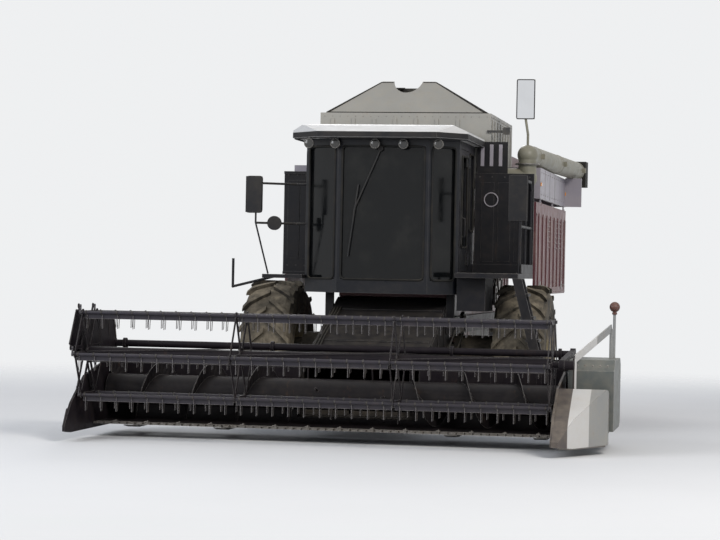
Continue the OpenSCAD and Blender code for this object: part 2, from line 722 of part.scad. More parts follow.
// Carcass outline: [share of the half width, depth below the tread]
carcass = [[1, 0.34], [0.98, 0.2], [0.86, 0.06], [0.66, 0]];
module tyre(r, w, bead, lug_h, lugs, lug_w) {
    tread = r - lug_h;
    depth = tread - bead;
    t = 28;
    outer = [for (c = carcass) [tread - depth * c[1], w / 2 * c[0]]];
    half = concat([[bead, w * 0.4], [bead + depth * 0.35, w / 2]], outer);
    inner = [[tread - t, w * 0.3], [tread - depth * 0.3, w / 2 - t], [bead + depth * 0.35, w / 2 - t], [bead, w * 0.4 - t]];
    whole = concat(half, [for (i = [len(half) - 1 : -1 : 0]) [half[i][0], -half[i][1]]],
                   [for (i = [len(inner) - 1 : -1 : 0]) [inner[i][0], -inner[i][1]]], inner);
    rotate_extrude() polygon(whole);
    run = w * 0.42;
    reach = w * 0.49;
    foot = sqrt(tread * tread - pow(run + lug_w, 2)) - 12;
    sink = [for (p = outer) [p[0] - 3, p[1]]];
    crown = [[tread - depth * 0.3, w / 2], [r - lug_h * 0.8, w * 0.49], [r, w * 0.4]];
    ring = concat(sink, [for (i = [len(sink) - 1 : -1 : 0]) [sink[i][0], -sink[i][1]]],
                  [for (p = crown) [p[0], -p[1]]], [for (i = [2 : -1 : 0]) crown[i]]);
    intersection() {
        rotate_extrude() polygon(ring);
        for (i = [0 : lugs - 1], side = [-1, 1]) rotate((i + (side > 0 ? 0.5 : 0)) * 360 / lugs)
            translate([foot, 0, 0]) rotate([90, 0, 90]) linear_extrude(r - foot + 1)
                polygon([[0, side * 6], [lug_w, side * 6], [run + lug_w, side * reach], [run, side * reach]]);
    }
}

front_rim_w = 500;
rear_rim_w = 320;
module rim_front() color("#8c8468") wheel_at(front_x, 0, front_r)
    rim(front_rim_r, front_rim_w, wheel_face - front_x + fit, stub_r + fit);
module tyre_front() color("#3a3631") wheel_at(front_x, 0, front_r)
    tyre(front_r, front_w, front_rim_r + fit, front_lug_h, front_lugs, 55);
module rim_rear() color("#8c8468") wheel_at(rear_x, rear_s, rear_r)
    rim(rear_rim_r, rear_rim_w, rear_face - rear_x + fit, spindle_r + fit);
module tyre_rear() color("#3a3631") wheel_at(rear_x, rear_s, rear_r)
    tyre(rear_r, rear_w, rear_rim_r + fit, rear_lug_h, rear_lugs, 42);

// Feeder house and header
function slope_point(along, up) = [
    feeder_s + along * cos(feeder_slope) + up * sin(feeder_slope),
    feeder_z - along * sin(feeder_slope) + up * cos(feeder_slope)
];
// Height of the line up above the feeder's middle, at s
function slope_z(s, up) = slope_point((s - slope_point(0, up)[0]) / cos(feeder_slope), up)[1];

module feeder_outline(h) polygon([
    slope_point(0, h), [flange_s, slope_z(flange_s, h)],
    [flange_s, slope_z(flange_s, -h)], slope_point(0, -h)
]);
lift_x = 450;
lift_s = 300;
lift_z = 500;
lift_pin_r = 20;
lift_eye = [1600, 360];
module feeder_house() color("#2b2d33") difference() {
    union() {
        side_shape([-feeder_half_w, feeder_half_w]) union() {
            feeder_outline(feeder_half);
            translate([feeder_s, feeder_z]) circle(r = feeder_half);
        }
        block([-feeder_half_w - 60, feeder_half_w + 60], [flange_s, beam_s], [intake_z[0] - 40, intake_z[1] + 10]);
        both_sides() for (x = [lift_x - 45, lift_x + 29]) side_shape([x, x + 16]) union() {
            translate([lift_eye[0] - 60, lift_eye[1]]) square([120, 110]);
            translate(lift_eye) circle(r = 45);
        }
        both_sides() cross_pin([lift_x - 45, lift_x + 45], lift_eye[0], lift_eye[1], lift_pin_r);
    }
    side_shape([-feeder_half_w + feeder_wall, feeder_half_w - feeder_wall]) polygon([
        slope_point(500, feeder_half - feeder_wall), [flange_s + 0.1, slope_z(flange_s, feeder_half - feeder_wall)],
        [flange_s + 0.1, slope_z(flange_s, -feeder_half + feeder_wall)], slope_point(500, -feeder_half + feeder_wall)
    ]);
    block([-feeder_half_w + feeder_wall, feeder_half_w - feeder_wall], [flange_s - 1, beam_s + 1],
          [intake_z[0], slope_z(flange_s, feeder_half - feeder_wall)]);
    both_sides() cross_pin([rail_x - trunnion_reach - fit, rail_x], feeder_s, feeder_z, trunnion_r + fit);
}

module header_pan() color("#2a262c") difference() {
    side_shape([cut_right, cut_left]) union() {
        translate([auger_s, floor_z - pan_t]) square([knife_s - auger_s, pan_t]);
        intersection() {
            translate([auger_s, auger_z]) difference() {
                circle(r = pan_r + pan_t);
                circle(r = pan_r);
            }
            translate([back_s - pan_t, floor_z - pan_t]) square(pan_r + pan_t);
        }
        translate([back_s - pan_t, auger_z]) square([pan_t, back_z - auger_z]);
    }
    block([-feeder_half_w, feeder_half_w], [back_s - pan_t - 1, auger_s - 100], intake_z);
}

module header_frame() color("#2f2b30") {
    x_range = [cut_right, cut_left];
    block(x_range, [beam_s, beam_s + beam], [back_z - beam, back_z]);
    block(x_range, [beam_s, beam_s + beam], [floor_z - 40, floor_z + 20]);
    for (x = [cut_right, -1880, -1270, -feeder_half_w - beam, feeder_half_w, 1060, 1520, cut_left - beam])
        block([x, x + beam], [beam_s, beam_s + beam], [floor_z + 20, back_z - beam]);
    for (x = [cut_right + 60, -900, 900, cut_left - 90]) side_shape([x, x + 30]) difference() {
        union() {
            translate([arm_pivot[0] - 50, back_z]) square([52, arm_pivot[1] - back_z]);
            translate(arm_pivot) circle(r = arm_tube_r + 20);
        }
        translate(arm_pivot) circle(r = arm_tube_r + fit);
    }
}

// End wall outline, up to the divider's tip
module wall_outline(tip) difference() {
    polygon([
        [flange_s, 90], [flange_s, back_z - 10], [beam_s + 120, back_z - 10], [reel_s - 60, 600],
        [3900, 360], [tip, 150], [tip, 100], [3900, 80], [flange_s + 100, 80]
    ]);
    translate([auger_s, auger_z]) circle(r = auger_shaft_r + fit);
}
reel_cyl = [2640, 400];
reel_eye = [3100, 765];
reel_pin_r = 10;
module end_wall_right() color("#242228") {
    side_shape([cut_right - wall_t, cut_right]) wall_outline(front_reach);
    intersection() {
        side_shape([-header_half, cut_right - wall_t]) polygon([
            [3350, 90], [3350, 330], [3900, 300], [front_reach, 150], [front_reach, 100], [3900, 80]
        ]);
        top_shape([0, 1000], [
            [cut_right, 3300], [cut_right, front_reach], [cut_right - wall_t, front_reach],
            [-header_half, 3700], [-header_half, 3500], [cut_right - wall_t - 10, 3350]
        ]);
    }
    cross_pin([cut_right - wall_t - 52, cut_right - wall_t], reel_cyl[0], reel_cyl[1], reel_pin_r);
}

housing_right = arm_left + arm_t + 8;
housing_s = [2350, 3250];
housing_z = [200, 860];
sheet_t = 20;
// Drive housing outline with its edges moved in by t
module housing_outline(t) polygon([
    [housing_s[0] + t, housing_z[0] + 50 + t * 0.4], [housing_s[0] + t, housing_z[1] - 70 - t * 0.4],
    [housing_s[0] + 80 + t * 0.4, housing_z[1] - t], [housing_s[1] - 120 - t * 0.4, housing_z[1] - t],
    [housing_s[1] - t, housing_z[1] - 100 - t * 0.4], [housing_s[1] - t, housing_z[0] + t],
    [housing_s[0] + 100 + t * 0.4, housing_z[0] + t]
]);
module drive_housing() color("#5d6a6c") {
    difference() {
        side_shape([housing_right, header_half]) housing_outline(0);
        side_shape([housing_right + sheet_t, header_half - sheet_t]) housing_outline(sheet_t);
    }
    block([cut_left + wall_t, housing_right], [2380, 2460], [250, 500]);
    block([cut_left + wall_t, housing_right], [3000, 3150], [housing_z[0] + 10, 300]);
}

// Left end wall with the wide nose ahead of the housing, and the guard bar over it
nose_x = [cut_left + wall_t, header_half - 40];
nose_s = housing_s[1] + 20;
bar_foot = [2200, 3340, 870];
bar_head = [2480, 2560, 1150];
post = [2500, 2470];
knob_z = 1350;
module divider_left() color("#e9e7e2") {
    side_shape([cut_left, cut_left + wall_t]) wall_outline(front_reach - 40);
    intersection() {
        side_shape(nose_x) polygon([
            [nose_s, 90], [nose_s, 560], [nose_s + 180, 600], [3900, 340], [front_reach, 150],
            [front_reach, 100], [3900, 80]
        ]);
        top_shape([0, 1000], [
            [nose_x[0], nose_s], [nose_x[0], front_reach], [nose_x[0] + 60, front_reach],
            [nose_x[1], nose_s + 150], [nose_x[1], nose_s]
        ]);
    }
    cross_pin([cut_left + wall_t, cut_left + wall_t + 52], reel_cyl[0], reel_cyl[1], reel_pin_r);
    flat_bar(pt(bar_foot[0], bar_foot[1], bar_foot[2]), pt(bar_head[0], bar_head[1], bar_head[2]), 70, 14);
    rod(pt(bar_foot[0], bar_foot[1] - 10, 500), pt(bar_foot[0], bar_foot[1] - 10, bar_foot[2] + 10), 18);
    rod(pt(bar_head[0], bar_head[1] + 10, housing_z[1]), pt(bar_head[0], bar_head[1] + 10, bar_head[2] - 10), 18);
    rod(pt(post[0], post[1], housing_z[1]), pt(post[0], post[1], knob_z - 20), 14);
    translate(pt(post[0], post[1], knob_z)) sphere(r = 50);
}

module cutter_bar() color("#6e6a66") {
    block([cut_right + 5, cut_left - 5], [knife_s, knife_s + 50], [floor_z - pan_t, floor_z]);
    pitch = (cut_left - cut_right - 60) / (guards - 1);
    for (i = [0 : guards - 1]) {
        x = cut_right + 30 + i * pitch;
        top_shape([floor_z - 14, floor_z + 4], [
            [x - 13, knife_s + 40], [x + 13, knife_s + 40], [x + 10, knife_s + 70],
            [x + 3, knife_s + guard_reach], [x - 3, knife_s + guard_reach], [x - 10, knife_s + 70]
        ]);
    }
}

// Helical flight from x0, turning by turns * 360 degrees with the given hand
module flight(x0, x1, hand) {
    steps = 24;
    n = round(abs(x1 - x0) / auger_pitch * steps);
    inner = (drum_r + fit) / cos(180 / steps);
    rows = [for (i = [0 : n]) let (a = hand * i * 360 / steps, x = x0 + (x1 - x0 - 8) * i / n)
        for (p = [[inner, 0], [auger_r, 0], [auger_r, 8], [inner, 8]])
            [x + p[1], axle_y - auger_s + p[0] * sin(a), auger_z + p[0] * cos(a)]];
    side = [for (i = [0 : n - 1], k = [0 : 3]) let (a = i * 4 + k, b = i * 4 + (k + 1) % 4)
        for (f = [[a, b, a + 4], [b, b + 4, a + 4]]) hand < 0 ? f : [f[0], f[2], f[1]]];
    ends = hand < 0 ? [[3, 2, 1], [3, 1, 0], [4 * n, 4 * n + 1, 4 * n + 2], [4 * n, 4 * n + 2, 4 * n + 3]]
                    : [[1, 2, 3], [0, 1, 3], [4 * n + 2, 4 * n + 1, 4 * n], [4 * n + 3, 4 * n + 2, 4 * n]];
    polyhedron(rows, concat(side, ends));
}
module header_auger() color("#777277") {
    cross_pin([cut_right + 20, cut_left - 20], auger_s, auger_z, drum_r);
    cross_pin([cut_right - wall_t, cut_left + wall_t], auger_s, auger_z, auger_shaft_r);
    flight(cut_right + 30, -feeder_half_w + 50, 1);
    flight(feeder_half_w - 50, cut_left - 30, -1);
    for (i = [0 : 7]) translate(pt(-455 + i * 130, auger_s, auger_z)) rotate([i * 75, 0, 0])
        cylinder(h = auger_r - 10, r = 9);
}

// Reel
module arm_outline() union() {
    hull_len = norm([reel_s, reel_z] - arm_pivot);
    tilt = atan2(reel_z - arm_pivot[1], reel_s - arm_pivot[0]);
    translate(arm_pivot) rotate(tilt) translate([0, -arm_half_h]) square([hull_len, 2 * arm_half_h]);
    translate(arm_pivot) circle(r = arm_tube_r + 25);
    translate([reel_s, reel_z]) circle(r = arm_half_h + 5);
}
module reel_arm(x) {
    difference() {
        side_shape([x, x + arm_t]) arm_outline();
        cross_pin([x - 1, x + arm_t + 1], reel_s, reel_z, reel_shaft_r + fit);
    }
    for (dx = [0, arm_t - 10]) side_shape([x + dx, x + dx + 10]) union() {
        translate(reel_eye) circle(r = 24);
        translate([reel_eye[0] - 24, reel_eye[1]]) square([48, 60]);
    }
    cross_pin([x, x + arm_t], reel_eye[0], reel_eye[1], reel_pin_r);
}
module reel_arms() color("#2e2b30") {
    reel_arm(arm_right);
    reel_arm(arm_left);
    cross_pin([arm_right, arm_left + arm_t], arm_pivot[0], arm_pivot[1], arm_tube_r);
    difference() {
        cross_pin([arm_right + arm_t, ring_x + ring_t], reel_s, reel_z + throw, boss_r);
        cross_pin([arm_right, ring_x + ring_t + 1], reel_s, reel_z, reel_shaft_r + fit);
    }
    cross_pin([arm_left + arm_t, arm_left + arm_t + 90], reel_s, reel_z, 45);
}

module spider_outline() difference() {
    union() {
        difference() {
            circle(r = reel_r + 20, $fn = 6);
            circle(r = reel_r - 24, $fn = 6);
        }
        for (i = [0 : 2]) rotate(i * 60) square([2 * reel_r, 44], center = true);
        circle(r = reel_tube_r + 35);
        for (i = [0 : 5]) rotate(i * 60) translate([reel_r, 0]) circle(r = tine_bar_r + 18);
    }
    for (i = [0 : 5]) rotate(i * 60) translate([reel_r, 0]) circle(r = tine_bar_r + fit);
}
module reel() color("#3c373d") {
    for (x = spiders) side_shape([x, x + spider_t]) translate([reel_s, reel_z]) spider_outline();
    cross_pin([spider_right, spider_left + spider_t], reel_s, reel_z, reel_tube_r);
    cross_pin([arm_right + 2, arm_left + arm_t - 2], reel_s, reel_z, reel_shaft_r);
}

// Tine bar number k, with its bats between the spiders, its tines and its crank
bat_h = 70;
bat_t = 5;
module tine_bar(k) color("#8d8890") {
    s = reel_s + reel_r * cos(60 * k);
    z = reel_z + reel_r * sin(60 * k);
    cross_pin([bar_right - 1, bar_left], s, z, tine_bar_r);
    for (i = [0 : 2]) block([spiders[i] + spider_t + 12, spiders[i + 1] - 12],
        [s - tine_bar_r, s - tine_bar_r + bat_t], [z - bat_h + 12, z + 12]);
    for (i = [0 : tines - 1]) translate(pt(bar_right + 60 + i * tine_pitch, s, z - tine_len))
        cylinder(h = tine_len, r = 4, $fn = 6);
    side_shape([crank_x, crank_x + crank_t]) translate([s, z]) union() {
        circle(r = tine_bar_r + 4);
        translate([-14, 0]) square([28, throw]);
        translate([0, throw]) circle(r = 16);
    }
    cross_pin([ring_x - 3, crank_x + 1], s, z + throw, crank_pin_r);
}

module control_spider() color("#4a4548") side_shape([ring_x, ring_x + ring_t])
    translate([reel_s, reel_z + throw]) difference() {
        union() {
            circle(r = boss_r + 30);
            for (i = [0 : 2]) rotate(i * 60) square([2 * reel_r, 34], center = true);
            for (i = [0 : 5]) rotate(i * 60) translate([reel_r, 0]) circle(r = crank_pin_r + 16);
        }
        circle(r = boss_r + fit);
        for (i = [0 : 5]) rotate(i * 60) translate([reel_r, 0]) circle(r = crank_pin_r + fit);
    }

// Cylinders
// Outline in s and z, w wide, in the middle of the machine
module side_shape_at(w) side_shape([-w / 2, w / 2]) children();

lift_closed = norm([lift_eye[0] - lift_s, lift_eye[1] - lift_z]);
lift_barrel = 900;
module lift_barrels() color("#3c3a36") for (side = [-1, 1]) translate([side * lift_x, 0, 0]) difference() {
    union() {
        side_shape_at(50) translate([lift_s, lift_z]) circle(r = 38);
        along([lift_s, lift_z], lift_eye) cylinder(h = lift_barrel, r = 42);
    }
    side_shape_at(52) translate([lift_s, lift_z]) circle(r = lift_pin_r + fit);
    block([-50, -25], [lift_s - 60, lift_s + 60], [lift_z - 60, lift_z + 60]);
    block([25, 50], [lift_s - 60, lift_s + 60], [lift_z - 60, lift_z + 60]);
    along([lift_s, lift_z], lift_eye) translate([0, 0, 120]) cylinder(h = lift_barrel, r = 25 + fit);
}
// Turns Z to point from a to b in the s-z plane, starting at a
module along(a, b) translate([0, axle_y - a[0], a[1]])
    rotate([90 - atan2(b[1] - a[1], b[0] - a[0]), 0, 0]) children();

module lift_rods() color("#b9bcc0") for (side = [-1, 1]) translate([side * lift_x, 0, 0]) difference() {
    union() {
        along([lift_s, lift_z], lift_eye) translate([0, 0, 400]) cylinder(h = lift_closed - 400, r = 25);
        side_shape_at(50) translate(lift_eye) circle(r = lift_pin_r + eye_play + 14);
    }
    side_shape_at(52) translate(lift_eye) circle(r = lift_pin_r + eye_play);
}

reel_closed = norm(reel_eye - reel_cyl);
reel_barrel = 370;
function cyl_x(side) = side < 0 ? arm_right + arm_t / 2 : arm_left + arm_t / 2;
module reel_barrels() color("#3c3a36") for (side = [-1, 1]) translate([cyl_x(side), 0, 0]) difference() {
    union() {
        side_shape_at(28) translate(reel_cyl) circle(r = 22);
        along(reel_cyl, reel_eye) translate([0, 0, 15]) cylinder(h = reel_barrel - 15, r = 20);
    }
    side_shape_at(60) translate(reel_cyl) circle(r = reel_pin_r + fit);
    along(reel_cyl, reel_eye) translate([0, 0, 60]) cylinder(h = reel_barrel, r = 11 + fit);
}
module reel_rods() color("#b9bcc0") for (side = [-1, 1]) translate([cyl_x(side), 0, 0]) difference() {
    union() {
        along(reel_cyl, reel_eye) translate([0, 0, 120]) cylinder(h = reel_closed - 120, r = 11);
        side_shape_at(26) translate(reel_eye) circle(r = reel_pin_r + eye_play + 7);
    }
    side_shape_at(28) translate(reel_eye) circle(r = reel_pin_r + eye_play);
}

// Unloading auger
module unloading_tube() color("#8f8a72") {
    tip = pt(elbow_x + spout_len * sin(spout_yaw), elbow_s - spout_len * cos(spout_yaw), elbow_z);
    upright(elbow_x, elbow_s, [elbow_joint_z + fit, elbow_z], collar_r);
    translate(pt(elbow_x, elbow_s, elbow_z)) sphere(r = spout_r + weld);
    rod(pt(elbow_x, elbow_s, elbow_z), tip, spout_r);
    pipe([pt(elbow_x, elbow_s, elbow_z + 100), pt(elbow_x, elbow_s, 3200), pt(elbow_x - 30, elbow_s, 3380)], 14);
    mirror_plate(elbow_x - 30, elbow_s, 3590, 200, 440);
}
boot_t = 8;
boot_drop = 90;
boot_len = 220;
module spout_boot() color("#222222") {
    x = elbow_x + spout_len * sin(spout_yaw);
    s = elbow_s - spout_len * cos(spout_yaw);
    half = spout_r + 10;
    translate(pt(x, s, elbow_z)) rotate([0, 0, -spout_yaw]) difference() {
        translate([-half, fit, -spout_r - boot_drop]) cube([2 * half, boot_len, 2 * spout_r + boot_drop + 10]);
        translate([-half + boot_t, fit + boot_t, -spout_r - boot_drop - 1])
            cube([2 * (half - boot_t), boot_len - 2 * boot_t, 2 * spout_r + boot_drop - boot_t]);
    }
}

frame();
front_axle();
thresher_body();
cleaning_shoe();
grain_tank();
tank_cover();
engine_block();
engine_hood();
exhaust_stack();
straw_hood();
straw_chopper();
cab_frame();
cab_roof();
cab_glass();
cab_interior();
platform();
mirrors();
work_lamps();
grain_elevator();
upper_panels();
auger_elbow();
rear_axle();
door_frame();
door_glass();
side_shield_l();
side_shield_r();
knuckle_l();
knuckle_r();
tie_rod();
rim_front();  // rim_fl
tyre_front();  // tyre_fl
on_side(-1) rim_front();  // rim_fr
on_side(-1) tyre_front();  // tyre_fr
rim_rear();  // rim_rl
tyre_rear();  // tyre_rl
on_side(-1) rim_rear();  // rim_rr
on_side(-1) tyre_rear();  // tyre_rr
feeder_house();
header_pan();
header_frame();
end_wall_right();
drive_housing();
divider_left();
cutter_bar();
header_auger();
reel_arms();
reel();
tine_bar(1);  // tine_bar_1
tine_bar(2);  // tine_bar_2
tine_bar(3);  // tine_bar_3
tine_bar(4);  // tine_bar_4
tine_bar(5);  // tine_bar_5
tine_bar(6);  // tine_bar_6
control_spider();
lift_barrels();
lift_rods();
reel_barrels();
reel_rods();
unloading_tube();
spout_boot();
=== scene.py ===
"""Combine harvester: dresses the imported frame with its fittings, finishes, light and camera.

Lengths are in metres. Places are given as (x, s, z): x to the machine's left, s ahead of the
front axle and z up, and AXLE_Y turns s into the frame's y.
"""

import json
import logging
import math
from dataclasses import dataclass
from enum import Enum
from typing import Iterable, NamedTuple, Optional, Sequence

import bmesh
import bpy
from mathutils import Matrix, Vector


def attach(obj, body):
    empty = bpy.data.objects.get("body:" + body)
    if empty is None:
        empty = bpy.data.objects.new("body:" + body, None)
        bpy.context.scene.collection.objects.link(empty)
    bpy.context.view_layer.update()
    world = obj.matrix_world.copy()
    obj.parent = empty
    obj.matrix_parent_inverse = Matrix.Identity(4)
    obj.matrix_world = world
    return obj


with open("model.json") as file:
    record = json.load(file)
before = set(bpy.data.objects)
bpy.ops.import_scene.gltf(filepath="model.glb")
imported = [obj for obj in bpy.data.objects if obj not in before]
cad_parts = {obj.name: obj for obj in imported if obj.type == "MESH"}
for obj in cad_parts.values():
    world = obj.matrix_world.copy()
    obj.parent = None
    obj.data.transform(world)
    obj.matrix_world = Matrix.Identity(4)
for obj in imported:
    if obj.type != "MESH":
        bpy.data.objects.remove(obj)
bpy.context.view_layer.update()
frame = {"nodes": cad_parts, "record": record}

LOG = logging.getLogger("harvester")
AXLE_Y = -0.425
CHASSIS = "chassis"
HEADER = "header"
DUST = (0.50, 0.42, 0.30)
RUST = (0.17, 0.075, 0.035)
BUMP_DEPTH = 0.004
EDGE_REACH = 0.006
SHARP_EDGE = 32.0
BEVEL_EDGE = 40.0
BOX_FACES = ((0, 1, 3, 2), (4, 6, 7, 5), (0, 4, 5, 1), (2, 3, 7, 6), (0, 2, 6, 4), (1, 5, 7, 3))
Spot = tuple[float, float]
Point = tuple[float, float, float]
Socket = bpy.types.NodeSocket


def at(x: float, s: float, z: float) -> Vector:
    """Turn a place on the machine into the frame's coordinates.

    Args:
        x: distance to the machine's left.
        s: distance ahead of the front axle.
        z: height above the ground.

    Returns:
        The point in the frame.
    """
    return Vector((x, AXLE_Y - s, z))


def turns(count: int, start: float = 0.0) -> list[float]:
    """List evenly spaced angles of a full turn.

    Args:
        count: number of angles.
        start: the first angle.

    Returns:
        The angles in radians.
    """
    return [2 * math.pi * i / count + start for i in range(count)]


class Axis(Enum):
    """A direction of the machine, as a vector of the frame."""

    LEFT = (1.0, 0.0, 0.0)
    AHEAD = (0.0, -1.0, 0.0)
    UP = (0.0, 0.0, 1.0)

    @property
    def vector(self) -> Vector:
        """The direction as a vector."""
        return Vector(self.value)


# Finishes


@dataclass(frozen=True)
class Finish:
    """A surface's paint or material, with the dust, wear and rust that it carries."""

    name: str
    slot: str
    base: Point
    rough: float = 0.5
    metal: float = 0.0
    dust: float = 0.1  # how much dust lies on it, from 0 to 1
    low_dust: float = 0.0  # how much more dust there is near the ground
    wear: float = 0.5  # how far the paint is rubbed off the edges
    worn: Point = (0.32, 0.30, 0.28)  # the colour under the paint
    rust: float = 0.0
    bump: float = 0.15  # depth of the surface's unevenness
    grain: float = 1.0  # size factor of the fine unevenness
    coat: float = 0.0
    gleam: float = 0.5  # how strongly the bare surface mirrors light, 0.5 for most paints
    # Colours put over the base, each with the place along x up to which it reaches. The divider's
    # dark band among them is painted shade.
    bands: tuple[tuple[float, Point], ...] = ()

    def build(self) -> bpy.types.Material:
        """Build the node material, or fetch it where it exists.

        Returns:
            The material.
        """
        found = bpy.data.materials.get(self.name)
        if found is not None:
            return found
        graph = Graph(self.name)
        place = graph.node("ShaderNodeTexCoord").outputs["Object"]
        large = graph.noise(place, 1.3, 6.0, 0.6)
        middle = graph.noise(place, 9.0, 8.0, 0.65)
        fine = graph.noise(place, 95.0 * self.grain, 4.0, 0.6)
        dust = self.dust_share(graph, place, large, middle)
        tone = self.painted(graph, place, large, fine)
        tone = self.rubbed(graph, tone, middle)
        tone = graph.mix(tone, RUST, self.rust_share(graph, place, middle))
        tone = graph.mix(tone, DUST, dust)
        rough = graph.ramp(middle, 0.3, 0.8, self.rough - 0.08, self.rough + 0.1)
        rough = graph.add(graph.scale(dust, 0.4), rough)
        relief = graph.add(graph.scale(fine, 0.35), graph.scale(middle, 0.65))
        graph.shade(tone, rough, relief, self.metal, self.bump, self.coat, self.gleam)
        return graph.material

    def dust_share(self, graph: "Graph", place: Socket, large: Socket, middle: Socket) -> Socket:
        """Gather the dust on faces that look up, near the ground and in patches.

        Args:
            graph: the material's tree.
            place: the coordinates.
            large: the coarse noise.
            middle: the middle noise.

        Returns:
            The share of dust.
        """
        normal = graph.node("ShaderNodeTexCoord").outputs["Normal"]
        upward = graph.ramp(graph.split(normal, 2), 0.25, 0.95)
        low = graph.ramp(graph.split(place, 2), 1.5, 0.25)
        patches = graph.add(graph.scale(large, 0.6), graph.scale(middle, 0.5))
        patches = graph.ramp(patches, 0.42, 0.72)
        share = graph.add(graph.scale(upward, 0.75 * self.dust), graph.scale(low, self.low_dust))
        share = graph.add(graph.scale(patches, 0.85 * self.dust), share)
        return graph.multiply(share, graph.ramp(middle, 0.25, 0.7, 0.45, 1.0))

    def painted(self, graph: "Graph", place: Socket, large: Socket, fine: Socket) -> Socket:
        """Vary the base colour, and paint the bands over it.

        Args:
            graph: the material's tree.
            place: the coordinates.
            large: the coarse noise.
            fine: the fine noise.

        Returns:
            The painted colour.
        """
        dark, light = graph.scale_colour(self.base, 0.8), graph.scale_colour(self.base, 1.18)
        tone = graph.mix(dark, light, large)
        specks = graph.ramp(fine, 0.45, 0.75, 0.0, 0.5)
        tone = graph.mix(tone, graph.scale_colour(self.base, 0.9), specks)
        for reach, colour in reversed(self.bands):
            beyond = graph.ramp(graph.split(place, 0), reach - 0.002, reach + 0.002)
            tone = graph.mix(colour, tone, beyond)
        return tone

    def rubbed(self, graph: "Graph", tone: Socket, middle: Socket) -> Socket:
        """Rub the paint off the edges.

        Args:
            graph: the material's tree.
            tone: the painted colour.
            middle: the middle noise.

        Returns:
            The colour with its worn edges.
        """
        edge = graph.edges(EDGE_REACH)
        chips = graph.ramp(graph.add(graph.scale(edge, 1.4), graph.scale(middle, 0.8)), 0.72, 0.9)
        return graph.mix(tone, self.worn, graph.scale(graph.multiply(chips, edge), self.wear * 2.0))

    def rust_share(self, graph: "Graph", place: Socket, middle: Socket) -> Socket:
        """Let rust run down in streaks.

        Args:
            graph: the material's tree.
            place: the coordinates.
            middle: the middle noise.

        Returns:
            The share of rust.
        """
        streaks = graph.noise(graph.stretch(place, (7.0, 7.0, 0.7)), 2.2, 5.0, 0.7)
        streaks = graph.add(graph.scale(streaks, 0.6), graph.scale(middle, 0.45))
        return graph.scale(graph.ramp(streaks, 0.58, 0.72), self.rust)


